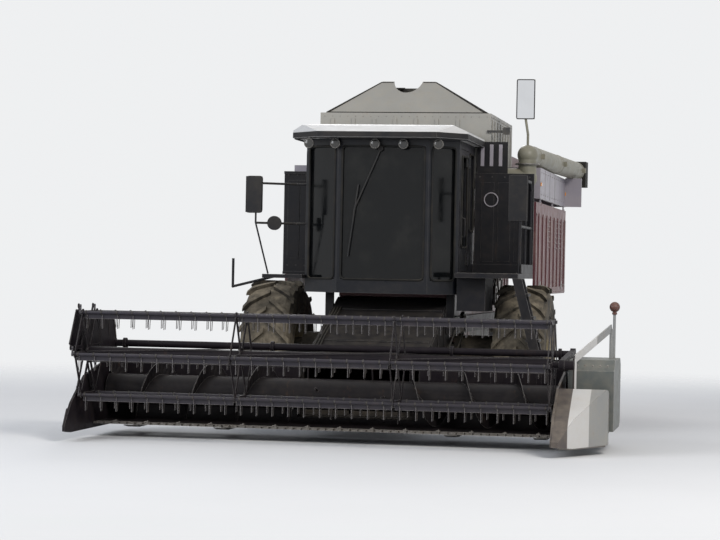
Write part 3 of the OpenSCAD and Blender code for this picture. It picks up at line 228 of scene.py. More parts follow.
class Graph:
    """Builds a material's node tree step by step."""

    def __init__(self, name: str) -> None:
        """Start an empty material.

        Args:
            name: the material's name.
        """
        self.material = bpy.data.materials.new(name)
        self.material.use_nodes = True
        self.tree = self.material.node_tree
        self.tree.nodes.clear()

    def node(self, kind: str, **values: object) -> bpy.types.Node:
        """Add a node.

        Args:
            kind: Blender's name of the node type.
            **values: the node's properties.

        Returns:
            The new node.
        """
        made = self.tree.nodes.new(kind)
        for key, value in values.items():
            setattr(made, key, value)
        return made

    def plug(self, value: object, socket: Socket) -> None:
        """Set a socket to a constant, or link it to another socket.

        Args:
            value: a number, a colour or an output socket.
            socket: the input to fill.
        """
        if isinstance(value, Socket):
            self.tree.links.new(value, socket)
        elif isinstance(value, (tuple, list)):
            socket.default_value = (*value, 1.0) if len(socket.default_value) == 4 else tuple(value)
        else:
            socket.default_value = value

    def math(self, operation: str, first: object, second: object, clamp: bool = False) -> Socket:
        """Join two values by a Math node.

        Args:
            operation: the Math node's operation.
            first: the first value.
            second: the second value.
            clamp: whether the result is kept between 0 and 1.

        Returns:
            The result.
        """
        made = self.node("ShaderNodeMath", operation=operation, use_clamp=clamp)
        self.plug(first, made.inputs[0])
        self.plug(second, made.inputs[1])
        return made.outputs[0]

    def add(self, first: object, second: object) -> Socket:
        """Add two values."""
        return self.math("ADD", first, second)

    def multiply(self, first: object, second: object) -> Socket:
        """Multiply two values, kept between 0 and 1."""
        return self.math("MULTIPLY", first, second, clamp=True)

    def scale(self, value: object, factor: float) -> Socket:
        """Multiply a value by a number."""
        return self.math("MULTIPLY", value, factor)

    def noise(self, place: object, size: float, detail: float, rough: float) -> Socket:
        """Add a noise texture.

        Args:
            place: the coordinates.
            size: how many features there are in a metre.
            detail: how many finer layers are added.
            rough: how strong the finer layers are.

        Returns:
            The noise, about 0.5 on average.
        """
        made = self.node("ShaderNodeTexNoise")
        self.plug(place, made.inputs["Vector"])
        made.inputs["Scale"].default_value = size
        made.inputs["Detail"].default_value = detail
        made.inputs["Roughness"].default_value = rough
        return made.outputs["Fac"]

    def fed(self, kind: str, value: object, **values: object) -> bpy.types.Node:
        """Add a node and fill its first input.

        Args:
            kind: Blender's name of the node type.
            value: what goes into the first input.
            **values: the node's properties.

        Returns:
            The new node.
        """
        made = self.node(kind, **values)
        self.plug(value, made.inputs[0])
        return made

    def split(self, vector: object, part: int) -> Socket:
        """Take one coordinate of a vector."""
        return self.fed("ShaderNodeSeparateXYZ", vector).outputs[part]

    def length(self, vector: object) -> Socket:
        """Measure a vector's length."""
        return self.fed("ShaderNodeVectorMath", vector, operation="LENGTH").outputs["Value"]

    def stretch(self, place: object, factors: Point) -> Socket:
        """Scale coordinates by one factor for each axis.

        Args:
            place: the coordinates.
            factors: the factor of each axis.

        Returns:
            The scaled coordinates.
        """
        made = self.fed("ShaderNodeVectorMath", place, operation="MULTIPLY")
        made.inputs[1].default_value = factors
        return made.outputs[0]

    def ramp(
        self, value: object, start: float, end: float, low: float = 0.0, high: float = 1.0
    ) -> Socket:
        """Map a value smoothly from one range to another.

        Args:
            value: the value to map.
            start: the value that gives low.
            end: the value that gives high.
            low: the result at start.
            high: the result at end.

        Returns:
            The mapped value.
        """
        made = self.node("ShaderNodeMapRange", interpolation_type="SMOOTHSTEP", clamp=True)
        self.plug(value, made.inputs["Value"])
        flip = start > end
        made.inputs["From Min"].default_value = end if flip else start
        made.inputs["From Max"].default_value = start if flip else end
        made.inputs["To Min"].default_value = high if flip else low
        made.inputs["To Max"].default_value = low if flip else high
        return made.outputs[0]

    def scale_colour(self, colour: Point, factor: float) -> Point:
        """Make a colour lighter or darker."""
        return tuple(min(1.0, part * factor) for part in colour)

    def mix(self, first: object, second: object, share: object) -> Socket:
        """Mix two colours.

        Args:
            first: the colour at share 0.
            second: the colour at share 1.
            share: the share of the second colour.

        Returns:
            The mixed colour.
        """
        made = self.node("ShaderNodeMix", data_type="RGBA", clamp_factor=True)
        self.plug(share, made.inputs[0])
        self.plug(first, made.inputs[6])
        self.plug(second, made.inputs[7])
        return made.outputs[2]

    def edges(self, reach: float) -> Socket:
        """Find the edges within a reach.

        Args:
            reach: how far from an edge the mask reaches.

        Returns:
            A mask that is 1 at an edge.
        """
        soft = self.node("ShaderNodeBevel", samples=3)
        soft.inputs["Radius"].default_value = reach
        flat = self.node("ShaderNodeNewGeometry").outputs["Normal"]
        dot = self.node("ShaderNodeVectorMath", operation="DOT_PRODUCT")
        self.plug(soft.outputs[0], dot.inputs[0])
        self.plug(flat, dot.inputs[1])
        return self.ramp(dot.outputs["Value"], 0.995, 0.8)

    def shade(
        self, colour: object, rough: object, relief: object,
        metal: float, bump: float, coat: float, gleam: float,
    ) -> None:
        """Finish the tree with the main shader.

        Args:
            colour: the base colour.
            rough: the roughness.
            relief: the height that the bump follows.
            metal: how metallic the surface is.
            bump: strength of the bump.
            coat: weight of the clear coat.
            gleam: specular level.
        """
        shader = self.node("ShaderNodeBsdfPrincipled")
        out = self.node("ShaderNodeOutputMaterial")
        self.plug(colour, shader.inputs["Base Color"])
        self.plug(rough, shader.inputs["Roughness"])
        shader.inputs["Metallic"].default_value = metal
        shader.inputs["Coat Weight"].default_value = coat
        shader.inputs["Specular IOR Level"].default_value = gleam
        rise = self.node("ShaderNodeBump")
        rise.inputs["Strength"].default_value = bump
        rise.inputs["Distance"].default_value = BUMP_DEPTH
        self.plug(relief, rise.inputs["Height"])
        self.plug(rise.outputs[0], shader.inputs["Normal"])
        self.plug(shader.outputs[0], out.inputs["Surface"])

    def fade(self, share: object) -> None:
        """Mix the finished surface with clear air.

        Args:
            share: the share of air, from 0 to 1.
        """
        out = next(node for node in self.tree.nodes if node.type == "OUTPUT_MATERIAL")
        surface = out.inputs["Surface"].links[0].from_socket
        mix = self.node("ShaderNodeMixShader")
        self.plug(share, mix.inputs[0])
        self.plug(surface, mix.inputs[1])
        self.plug(self.node("ShaderNodeBsdfTransparent").outputs[0], mix.inputs[2])
        self.plug(mix.outputs[0], out.inputs["Surface"])


@dataclass(frozen=True)
class GlassFinish:
    """Tinted window glass with a film of dust."""

    name: str
    slot: str
    tint: Point
    rough: float = 0.06
    clear: float = 0.4  # how much light passes through
    gleam: float = 0.2
    density: float = 1.45  # index of refraction
    film: Point = (0.35, 0.32, 0.27)  # colour of the dust

    def build(self) -> bpy.types.Material:
        """Build the node material, or fetch it where it exists.

        Returns:
            The material.
        """
        found = bpy.data.materials.get(self.name)
        if found is not None:
            return found
        graph = Graph(self.name)
        place = graph.node("ShaderNodeTexCoord").outputs["Object"]
        smears = graph.noise(place, 3.0, 8.0, 0.7)
        dust = graph.ramp(smears, 0.45, 0.8, 0.004, 0.06)
        rough = graph.ramp(smears, 0.35, 0.8, self.rough, self.rough + 0.2)
        shader = graph.node("ShaderNodeBsdfPrincipled")
        graph.plug(graph.mix(self.tint, self.film, dust), shader.inputs["Base Color"])
        graph.plug(rough, shader.inputs["Roughness"])
        shader.inputs["Transmission Weight"].default_value = self.clear
        shader.inputs["Specular IOR Level"].default_value = self.gleam
        shader.inputs["IOR"].default_value = self.density
        out = graph.node("ShaderNodeOutputMaterial")
        graph.plug(shader.outputs[0], out.inputs["Surface"])
        return graph.material


class Paints:
    """The machine's finishes, by name."""

    maroon = Finish(
        "maroon_paint", "body_red", (0.105, 0.026, 0.034), 0.42,
        dust=0.14, low_dust=0.1, rust=0.12, gleam=0.35,
    )
    pale = Finish(
        "pale_rib_paint", "body_red", (0.36, 0.26, 0.27), 0.5, dust=0.3, low_dust=0.2, rust=0.1,
    )
    chassis = Finish(
        "chassis_paint", "chassis_black", (0.009, 0.009, 0.012), 0.5,
        dust=0.03, low_dust=0.06, rust=0.1, wear=0.2, gleam=0.2,
    )
    axle = Finish(
        "axle_casting", "axle_dusty", (0.022, 0.02, 0.019), 0.6,
        dust=0.22, low_dust=0.3, rust=0.3, bump=0.3, gleam=0.3,
    )
    zinc = Finish(
        "zinc_sheet", "shoe_zinc", (0.11, 0.115, 0.12), 0.45, 0.6, dust=0.2, low_dust=0.2, rust=0.3,
    )
    tank = Finish("tank_paint", "tank_beige", (0.31, 0.30, 0.27), 0.5, dust=0.15, rust=0.15)
    lilac = Finish("panel_paint", "panel_lilac", (0.32, 0.295, 0.33), 0.4, dust=0.12, rust=0.08)
    roof = Finish(
        "roof_shell", "roof_white", (0.70, 0.69, 0.67), 0.5,
        dust=0.06, rust=0.02, wear=0.1, gleam=0.2,
    )
    cab = Finish(
        "cab_paint", "cab_dark", (0.008, 0.009, 0.013), 0.35,
        dust=0.03, low_dust=0.04, rust=0.02, wear=0.2, coat=0.05, gleam=0.25,
    )
    trim = Finish(
        "cab_trim_plastic", "cab_trim", (0.010, 0.010, 0.012), 0.6, dust=0.05, wear=0.1, gleam=0.25,
    )
    lamp = Finish("lamp_housing", "lamp_grey", (0.02, 0.02, 0.02), 0.5, rust=0.03)
    engine = Finish(
        "engine_casting", "engine_grey", (0.06, 0.065, 0.065), 0.6, 0.2,
        dust=0.4, rust=0.3, bump=0.4,
    )
    burnt = Finish(
        "burnt_steel", "exhaust_rust", (0.07, 0.04, 0.028), 0.7, 0.4, dust=0.12, rust=0.8,
    )
    olive = Finish("auger_paint", "auger_olive", (0.20, 0.19, 0.14), 0.45, dust=0.18, rust=0.12)
    boot = Finish(
        "boot_rubber_black", "boot_rubber", (0.010, 0.010, 0.010), 0.75,
        dust=0.06, wear=0.0, gleam=0.25,
    )
    rim = Finish(
        "rim_paint", "rim_dusty", (0.26, 0.22, 0.13), 0.5, dust=0.4, low_dust=0.3, rust=0.3,
    )
    tyre = Finish(
        "tyre_rubber", "tyre_dusty", (0.012, 0.011, 0.010), 0.8,
        dust=0.36, low_dust=0.27, wear=0.0, bump=0.35, gleam=0.3,
    )
    header = Finish(
        "header_paint", "header_black", (0.007, 0.005, 0.0085), 0.5,
        dust=0.01, low_dust=0.016, rust=0.08, wear=0.2, gleam=0.12,
    )
    bat = Finish(
        "bat_paint", "bat_grey", (0.024, 0.021, 0.029), 0.42,
        dust=0.02, low_dust=0.01, rust=0.08, wear=0.45, gleam=0.3,
    )
    steel = Finish(
        "worn_steel", "steel_worn", (0.19, 0.18, 0.17), 0.38, 0.85, low_dust=0.08, rust=0.3,
    )
    tine = Finish(
        "tine_steel", "steel_worn", (0.026, 0.023, 0.022), 0.45, 0.3,
        dust=0.02, low_dust=0.02, rust=0.25, wear=0.12, worn=(0.16, 0.15, 0.14), gleam=0.3,
    )
    drum = Finish(
        "auger_steel_dark", "steel_worn", (0.014, 0.012, 0.015), 0.42, 0.3,
        dust=0.015, low_dust=0.02, rust=0.2, wear=0.5, gleam=0.25,
    )
    teal = Finish(
        "teal_cover", "housing_teal", (0.078, 0.092, 0.09), 0.45, low_dust=0.1, rust=0.08,
    )
    divider = Finish(
        "divider_paint_and_painted_shade", "divider_white", (0.25, 0.255, 0.25), 0.4,
        low_dust=0.12, rust=0.12, wear=0.8, worn=(0.12, 0.10, 0.09),
        # The dark band below x 2.2 is painted shade on the divider's inner part; the white band and
        # the grey base are its two-tone paint.
        bands=((2.2, (0.03, 0.022, 0.026)), (2.37, (0.58, 0.57, 0.55))),
    )
    chrome = Finish(
        "rod_plating", "rod_chrome", (0.62, 0.63, 0.65), 0.15, 1.0,
        dust=0.05, low_dust=0.03, wear=0.0,
    )
    guard = Finish(
        "shaft_guard_plastic", "boot_rubber", (0.02, 0.02, 0.022), 0.55,
        dust=0.15, low_dust=0.2, wear=0.1,
    )
    cloth = Finish(
        "seat_cloth", "cab_trim", (0.035, 0.037, 0.045), 0.9, wear=0.0, bump=0.5, grain=4.0,
    )
    mirror = Finish(
        "mirror_silver", "rod_chrome", (0.75, 0.76, 0.78), 0.04, 1.0, dust=0.05, wear=0.0, bump=0.0,
    )
    amber = Finish("amber_lens", "lamp_grey", (0.75, 0.28, 0.02), 0.2, wear=0.0, coat=0.6)
    red_lens = Finish("red_lens", "lamp_grey", (0.45, 0.02, 0.02), 0.2, wear=0.0, coat=0.6)
    lens = Finish(
        "lamp_lens", "lamp_grey", (0.03, 0.03, 0.03), 0.12, 0.2, dust=0.06, wear=0.0, coat=0.3,
    )
    knob = Finish("knob_paint", "divider_white", (0.10, 0.035, 0.025), 0.5, dust=0.08, rust=0.2)
    glass = GlassFinish("cab_glass_tinted", "cab_glass", (0.006, 0.007, 0.008))
    own: dict[str, Finish] = {"header_auger": drum}

    @classmethod
    def by_slot(cls) -> dict[str, Finish | GlassFinish]:
        """Map each of the record's slots to its finish.

        Returns:
            The first finish that is listed for each slot.
        """
        first: dict[str, Finish | GlassFinish] = {}
        for value in vars(cls).values():
            if isinstance(value, (Finish, GlassFinish)):
                first.setdefault(value.slot, value)
        return first


# Pieces


class Draft:
    """Collects one piece's faces before it becomes an object."""

    def __init__(self) -> None:
        """Start with no faces."""
        self.points: list[Vector] = []
        self.faces: list[tuple[int, ...]] = []

    def add(self, points: Iterable[Vector], faces: Iterable[Sequence[int]]) -> None:
        """Add a closed shape.

        Args:
            points: the shape's corners.
            faces: indices of the corners of each face.
        """
        first = len(self.points)
        self.points.extend(Vector(p) for p in points)
        self.faces.extend(tuple(first + i for i in face) for face in faces)

    def block(self, x: Sequence[float], s: Sequence[float], z: Sequence[float]) -> None:
        """Add a box between the two ends of each range."""
        corners = [at(x[i], s[k], z[m]) for i in (0, 1) for k in (0, 1) for m in (0, 1)]
        self.add(corners, BOX_FACES)

    def side_block(self, side: float, x: Spot, s: Spot, z: Spot) -> None:
        """Add a box that is drawn on the left: there for side 1, or mirrored for side -1."""
        self.block(sorted((x[0] * side, x[1] * side)), s, z)

    def block_at(
        self, middle: Vector, run: Vector, half_run: float, half_across: float, half_up: float
    ) -> None:
        """Add a box whose long side follows a level direction.

        Args:
            middle: the box's middle.
            run: the level direction.
            half_run: half its size along that direction.
            half_across: half its size across it.
            half_up: half its height.
        """
        along, across = run.normalized(), run.cross(Axis.UP.vector).normalized()
        corners = [
            middle + along * i * half_run + across * k * half_across + Axis.UP.vector * m * half_up
            for i in (-1, 1) for k in (-1, 1) for m in (-1, 1)
        ]
        self.add(corners, BOX_FACES)

    def ring_faces(self, rows: int, sides: int, closed: bool) -> list[tuple[int, ...]]:
        """List the faces of a skin over rows of points.

        Args:
            rows: number of rows.
            sides: points in a row.
            closed: whether the last row joins the first. Otherwise both get a cap.

        Returns:
            The faces.
        """
        faces = []
        for i in range(rows if closed else rows - 1):
            nxt = (i + 1) % rows
            for k in range(sides):
                m = (k + 1) % sides
                faces.append((i * sides + k, i * sides + m, nxt * sides + m, nxt * sides + k))
        if not closed:
            faces.append(tuple(range(sides - 1, -1, -1)))
            faces.append(tuple((rows - 1) * sides + k for k in range(sides)))
        return faces

    def tube(
        self, path: Sequence[Vector], radius: float, sides: int = 10, closed: bool = False
    ) -> None:
        """Sweep a circle along a path.

        Args:
            path: the points that the middle follows.
            radius: the circle's radius.
            sides: corners of the circle.
            closed: whether the path's end joins its start.
        """
        count = len(path)
        points: list[Vector] = []
        across: Optional[Vector] = None
        for i, p in enumerate(path):
            ahead = path[(i + 1) % count] if closed or i < count - 1 else p
            behind = path[i - 1] if closed or i > 0 else p
            run = (ahead - behind).normalized()
            if across is None:
                across = run.orthogonal().normalized()
            across = (across - run * across.dot(run)).normalized()
            other = run.cross(across)
            points += [
                p + (across * math.cos(a) + other * math.sin(a)) * radius
                for a in turns(sides)
            ]
        self.add(points, self.ring_faces(count, sides, closed))

    def turned(
        self, middle: Vector, axis: Vector, profile: Sequence[Spot], sides: int = 24
    ) -> None:
        """Turn a closed outline round an axis.

        Args:
            middle: the axis's starting point.
            axis: the axis's direction.
            profile: (radius, distance along the axis) of each corner, radius 0 only at the ends.
            sides: number of steps round the axis.
        """
        run = axis.normalized()
        across = run.orthogonal().normalized()
        other = run.cross(across)
        rows = [(max(r, 1e-4), d) for r, d in profile]
        points = [
            middle + run * d + (across * math.cos(a) + other * math.sin(a)) * r
            for r, d in rows
            for a in turns(sides)
        ]
        self.add(points, self.ring_faces(len(rows), sides, False))

    def pad(self, middle: Vector, half: Point, rows: int = 14, sides: int = 32) -> None:
        """Add a crowned cushion with soft corners.

        Args:
            middle: the cushion's middle.
            half: half its size along x, s and z.
            rows: number of steps from its underside to its top.
            sides: number of steps round it.
        """
        points = []
        for i in range(rows + 1):
            up = math.pi * (max(0.004, min(0.996, i / rows)) - 0.5)
            across = swell(math.cos(up))
            for turn in turns(sides):
                points.append(middle + Vector((
                    half[0] * across * swell(math.cos(turn)),
                    half[1] * across * swell(math.sin(turn)),
                    half[2] * swell(math.sin(up)),
                )))
        self.add(points, self.ring_faces(rows + 1, sides, False))

    def bolt(self, place: Vector, axis: Vector, size: float) -> None:
        """Add a hexagon bolt head with its washer.

        Args:
            place: the point on the surface.
            axis: the direction out of the surface.
            size: the head's radius.
        """
        washer, low, high = size * 1.35, size * 0.2, size * 0.8
        self.turned(place, axis, [(0, 0), (washer, 0), (washer, low), (0, low)], 12)
        self.turned(place, axis, [(0, low), (size, low), (size, high), (high, size), (0, size)], 6)

    def bolt_ring(
        self, middle: Vector, axis: Vector, ring: float, count: int, size: float, start: float = 0.0
    ) -> None:
        """Add a circle of bolts on a face that looks to the machine's side.

        Args:
            middle: the circle's middle.
            axis: the direction out of the face.
            ring: the circle's radius.
            count: number of bolts.
            size: radius of a bolt's head.
            start: angle of the first bolt.
        """
        for a in turns(count, start):
            self.bolt(middle + Vector((0, math.cos(a), math.sin(a))) * ring, axis, size)

    def plate(self, outline: Sequence[Vector], thick: Vector) -> None:
        """Add a flat plate.

        Args:
            outline: the corners of one face.
            thick: the step from that face to the other.
        """
        count = len(outline)
        self.add(list(outline) + [p + thick for p in outline], self.ring_faces(2, count, False))

    def place(
        self, name: str, body: str, finish: Finish | GlassFinish, bevel: float = 0.0
    ) -> bpy.types.Object:
        """Make the object, dress it and let it ride on its body.

        Args:
            name: the piece's name.
            body: the body that it moves with.
            finish: its finish.
            bevel: width of the rounding at its edges.

        Returns:
            The new object.
        """
        mesh = bpy.data.meshes.new(name)
        mesh.from_pydata([tuple(p) for p in self.points], [], self.faces)
        mesh.update()
        fix_normals(mesh)
        mesh.materials.append(finish.build())
        made = bpy.data.objects.new(name, mesh)
        bpy.context.scene.collection.objects.link(made)
        smooth_by_angle(mesh, SHARP_EDGE)
        if bevel > 0:
            rounding = made.modifiers.new("edges", "BEVEL")
            rounding.width = bevel
            rounding.segments = 2
            rounding.limit_method = "ANGLE"
            rounding.angle_limit = math.radians(BEVEL_EDGE)
        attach(made, body)
        LOG.info("%s: %d faces on %s", name, len(self.faces), body)
        return made


def swell(value: float, power: float = 0.42) -> float:
    """Push a share between -1 and 1 outward, so that a round form gets soft corners.

    Args:
        value: the share.
        power: 1 for a round form, and less for a squarer one.

    Returns:
        The share pushed outward.
    """
    return math.copysign(abs(value) ** power, value)


def fix_normals(mesh: bpy.types.Mesh) -> None:
    """Turn every face of a mesh outward.

    Args:
        mesh: the mesh.
    """
    work = bmesh.new()
    work.from_mesh(mesh)
    bmesh.ops.recalc_face_normals(work, faces=work.faces)
    work.to_mesh(mesh)
    work.free()


def smooth_by_angle(mesh: bpy.types.Mesh, degrees: float) -> None:
    """Shade a mesh smoothly, apart from edges sharper than an angle.

    Args:
        mesh: the mesh.
        degrees: the angle between two faces from which their edge stays sharp.
    """
    mesh.shade_smooth()
    mesh.set_sharp_from_angle(angle=math.radians(degrees))


# Sub-assemblies


@dataclass
class Wheel:
    """Nuts and hub cap of one wheel."""

    name: str
    x: float
    s: float
    z: float
    face: float  # how far the disc's outer face lies outside the tyre's middle
    nut_ring: float
    nuts: int
    bore: float  # radius of the hub
    nut_size: float = 0.016
    cap_bolts: int = 6
    cap_bolt: float = 0.006

    def build(self) -> None:
        """Build the wheel's fittings on its outer side."""
        out = Axis.LEFT.vector * math.copysign(1.0, self.x)
        middle = at(self.x, self.s, self.z) + out * self.face
        draft = Draft()
        draft.bolt_ring(middle, out, self.nut_ring, self.nuts, self.nut_size)
        draft.turned(middle, out, [
            (0, 0), (self.bore, 0), (self.bore, 0.05), (self.bore * 0.86, 0.062),
            (self.bore * 0.8, 0.058), (self.bore * 0.45, 0.07), (0, 0.072),
        ], 32)
        cap = middle + out * 0.056
        draft.bolt_ring(cap, out, self.bore * 0.72, self.cap_bolts, self.cap_bolt, 0.3)
        draft.place(f"hub_{self.name}", f"wheel_{self.name}", Paints.axle, 0.001)


WHEELS = (
    Wheel("fl", 1.365, 0.0, 0.765, -0.105, 0.165, 10, 0.105),
    Wheel("fr", -1.365, 0.0, 0.765, -0.105, 0.165, 10, 0.105),
    Wheel("rl", 1.1, -3.65, 0.525, -0.0394, 0.1, 8, 0.07),
    Wheel("rr", -1.1, -3.65, 0.525, -0.0394, 0.1, 8, 0.07),
)


class Window(NamedTuple):
    """One window of the cab."""

    start: Spot  # one end of its wall, as (x, s)
    end: Spot
    margin_start: float  # width of the wall beside the opening at the start
    margin_end: float
    low: float  # the opening's lower edge
    high: float


@dataclass
class Cab:
    """Seals, wiper, lamps, door handle and driver's place of the cab."""

    right: float = -0.9
    left: float = 0.74
    front: float = 1.15
    facet: float = 0.85  # where the side facets begin
    corner_right: float = -0.5
    corner_left: float = 0.46
    rear: float = -0.33
    middle: float = -0.08
    top: float = 3.04
    seal: float = 0.011
    corner: float = 0.05
    # Rear and front edge, then lower and upper edge of the door's pane.
    door_pane: tuple[float, float, float, float] = (0.254, 0.676, 1.919, 2.886)
    handle_s: float = 0.70
    hinges: tuple[float, ...] = (1.735, 2.785)  # lower ends of the hinge plates
    wiper_foot: Spot = (-0.05, 2.93)  # the wiper's pivot, as (x, z)
    # Upper and lower end of the wiper's blade, as (x, z).
    blade: tuple[Spot, Spot] = ((-0.28, 2.55), (-0.38, 1.80))
    gutter: float = 0.056  # height of the strip round the roof
    grille_bars: int = 9
    lamp_row: tuple[float, ...] = (-0.8, -0.52, -0.1, 0.2, 0.57)
    lamp_s: float = 1.225
    # Middle and half sizes of each of the seat's cushions.
    pads: tuple[tuple[Point, Point], ...] = (
        ((-0.08, 0.16, 1.99), (0.25, 0.23, 0.055)),
        ((-0.08, -0.055, 2.26), (0.22, 0.045, 0.25)),
        ((-0.08, -0.06, 2.61), (0.14, 0.04, 0.105)),
        ((-0.335, 0.125, 2.14), (0.03, 0.175, 0.026)),
        ((0.195, 0.125, 2.14), (0.03, 0.175, 0.026)),
    )
    levers: int = 3
    wheel_hub: Point = (-0.08, 0.64, 2.14)

    def windows(self) -> list[Window]:
        """List the cab's windows.

        Returns:
            The windows of the front, the two facets, the right wall, the left wall and the rear.
        """
        front_right, front_left = (self.corner_right, self.front), (self.corner_left, self.front)
        facet_right, facet_left = (self.right, self.facet), (self.left, self.facet)
        rear_right, rear_left = (self.right, self.rear), (self.left, self.rear)
        return [
            Window(front_right, front_left, 0.04, 0.04, 1.56, 2.96),
            Window(facet_right, front_right, 0.05, 0.04, 1.56, 2.96),
            Window(front_left, facet_left, 0.04, 0.05, 1.56, 2.96),
            Window(rear_right, facet_right, 0.09, 0.06, 1.76, 2.94),
            Window(rear_left, (self.left, 0.18), 0.09, 0.09, 2.10, 2.94),
            Window(rear_left, rear_right, 0.2, 0.2, 2.2, 2.9),
        ]

    def frame_points(self, window: Window, inset: float, out: float) -> list[Vector]:
        """Find the four corners of a window.

        Args:
            window: the window.
            inset: how far inside the opening the corners lie.
            out: how far outside the wall they lie.

        Returns:
            The corners, in order round the opening.
        """
        a, b = at(*window.start, 0), at(*window.end, 0)
        run = (b - a).normalized()
        outward = run.cross(Axis.UP.vector)
        if outward.dot((a + b) / 2 - at(self.middle, 0.3, 0)) < 0:
            outward = -outward
        p = a + run * (window.margin_start + inset) + outward * out
        q = b - run * (window.margin_end + inset) + outward * out
        low, high = window.low + inset, window.high - inset
        return [Vector((v.x, v.y, z)) for v, z in ((p, low), (q, low), (q, high), (p, high))]

    def seals(self) -> None:
        """Lay the rubber seals round the windows and the door's pane."""
        draft = Draft()
        for window in self.windows():
            corners = self.frame_points(window, 0.004, 0.004)
            draft.tube(rounded(corners, self.corner), self.seal, 8, closed=True)
        draft.place("window_seals", CHASSIS, Paints.boot)
        door = Draft()
        x, (rear, front, low, high) = self.left + 0.004, self.door_pane
        corners = [at(x, rear, low), at(x, front, low), at(x, front, high), at(x, rear, high)]
        door.tube(rounded(corners, self.corner), self.seal, 8, closed=True)
        door.place("door_seal", "cab_door", Paints.boot)

    def handle(self) -> None:
        """Fit the door's handle and hinge plates."""
        draft = Draft()
        x, s = self.left, self.handle_s
        grip = [at(x, s, 2.02), at(x + 0.045, s, 2.04), at(x + 0.045, s, 2.22), at(x, s, 2.24)]
        draft.tube(grip, 0.009)
        draft.block((x, x + 0.012), (s - 0.015, s + 0.015), (1.96, 2.3))
        for z in self.hinges:
            draft.block((x, x + 0.006), (0.215, 0.34), (z, z + 0.12))
            for rise in (0.03, 0.09):
                for bolt_s in (0.26, 0.31):
                    draft.bolt(at(x + 0.006, bolt_s, z + rise), Axis.LEFT.vector, 0.007)
        draft.place("door_handle", "cab_door", Paints.trim, 0.002)

    def wiper(self) -> None:
        """Fit the big wiper over the front pane."""
        draft = Draft()
        foot_x, foot_z = self.wiper_foot
        foot, pivot = at(foot_x, self.front, foot_z), at(foot_x, self.front + 0.012, foot_z)
        top, low = (at(x, self.front + 0.016, z) for x, z in self.blade)
        middle = (top + low) / 2
        draft.turned(foot, Axis.AHEAD.vector, [(0, 0), (0.03, 0), (0.026, 0.024), (0, 0.028)], 16)
        arm = [pivot, pivot + Vector((-0.04, 0, -0.1)), middle + Vector((0.01, 0, 0.12)), middle]
        draft.tube(arm, 0.008, 8)
        draft.tube([top, middle, low], 0.008, 6)
        lip = Vector((0, 0.01, 0))
        draft.tube([top + lip, low + lip], 0.004, 6)
        draft.place("front_wiper", CHASSIS, Paints.trim)

    def roof(self) -> None:
        """Seam, rear air grille, gutter and hatch of the roof."""
        trim = Draft()
        right, left = self.right - 0.12, self.left + 0.1
        edge = [
            (right, -0.36), (right, 1.0), (-0.7, 1.32), (0.56, 1.32), (left, 1.0), (left, -0.36),
        ]
        seam = [
            at(x * 0.985 - 0.001, s - 0.012 if s > 0 else s + 0.012, self.top - 0.004)
            for x, s in edge
        ]
        trim.tube(rounded(seam, 0.03), 0.010, 8, closed=True)
        for i in range(self.grille_bars):
            z = self.top + 0.02 + i * 0.011
            trim.block((-0.5, 0.34), (-0.366, -0.360), (z, z + 0.006))
        rise = Vector((0, 0, self.gutter))
        for (x0, s0), (x1, s1) in zip(edge, edge[1:]):
            a, b = at(x0, s0, self.top + 0.002), at(x1, s1, self.top + 0.002)
            out = (b - a).cross(Axis.UP.vector).normalized()
            out *= math.copysign(0.004, out.dot((a + b) / 2 - at(self.middle, 0.4, self.top)))
            trim.plate([a, b, b + rise, a + rise], out)
        trim.place("roof_gutter", CHASSIS, Paints.trim, 0.001)
        hatch = Draft()
        hatch.block((-0.38, 0.22), (0.1, 0.6), (self.top + 0.166, self.top + 0.178))
        hatch.place("roof_hatch", CHASSIS, Paints.roof, 0.006)

    def lamps(self) -> None:
        """Bowls and glasses of the lamps under the visor."""
        bowl, glass = Draft(), Draft()
        ahead = Axis.AHEAD.vector
        bowl_shape = [
            (0, 0), (0.050, 0), (0.053, 0.012), (0.050, 0.022),
            (0.044, 0.022), (0.036, 0.012), (0, 0.010),
        ]
        glass_shape = [(0, 0), (0.043, 0), (0.040, 0.006), (0.02, 0.011), (0, 0.012)]
        for x in self.lamp_row:
            middle = at(x, self.lamp_s, self.top - 0.065)
            bowl.turned(middle, ahead, bowl_shape, 24)
            glass.turned(middle + ahead * 0.013, ahead, glass_shape, 24)
        bowl.place("visor_lamp_bowls", CHASSIS, Paints.lamp)
        glass.place("visor_lamp_glasses", CHASSIS, Paints.lens)

    def seat(self) -> None:
        """Cushions and arm rests of the driver's seat."""
        soft = Draft()
        for middle, half in self.pads:
            soft.pad(at(*middle), half)
        soft.place("seat_cushions", CHASSIS, Paints.cloth)

    def controls(self) -> None:
        """Dash, levers and the steering wheel's spokes."""
        dash = Draft()
        dash.block((-0.42, -0.30), (0.1, 0.5), (2.1, 2.125))
        dash.block((-0.62, -0.52), (0.62, 0.7), (2.1, 2.4))
        grip = [(0, 0), (0.016, 0.004), (0.02, 0.024), (0.012, 0.042), (0, 0.046)]
        for i in range(self.levers):
            base = at(-0.47 + i * 0.05, 0.34, 2.1)
            dash.tube([base, base + Vector((0, -0.02, 0.16))], 0.006, 8)
            dash.turned(base + Vector((0, -0.02, 0.15)), Axis.UP.vector, grip, 16)
        hub = at(*self.wheel_hub)
        tilt = Matrix.Rotation(math.radians(-12), 3, "X")
        for a in turns(3, 0.4):
            dash.tube([hub, hub + tilt @ Vector((math.cos(a), math.sin(a), 0)) * 0.185], 0.009, 8)
        dash.place("driver_controls", CHASSIS, Paints.trim, 0.003)

    def build(self) -> None:
        """Build all the cab's fittings."""
        self.seals()
        self.handle()
        self.wiper()
        self.roof()
        self.lamps()
        self.seat()
        self.controls()


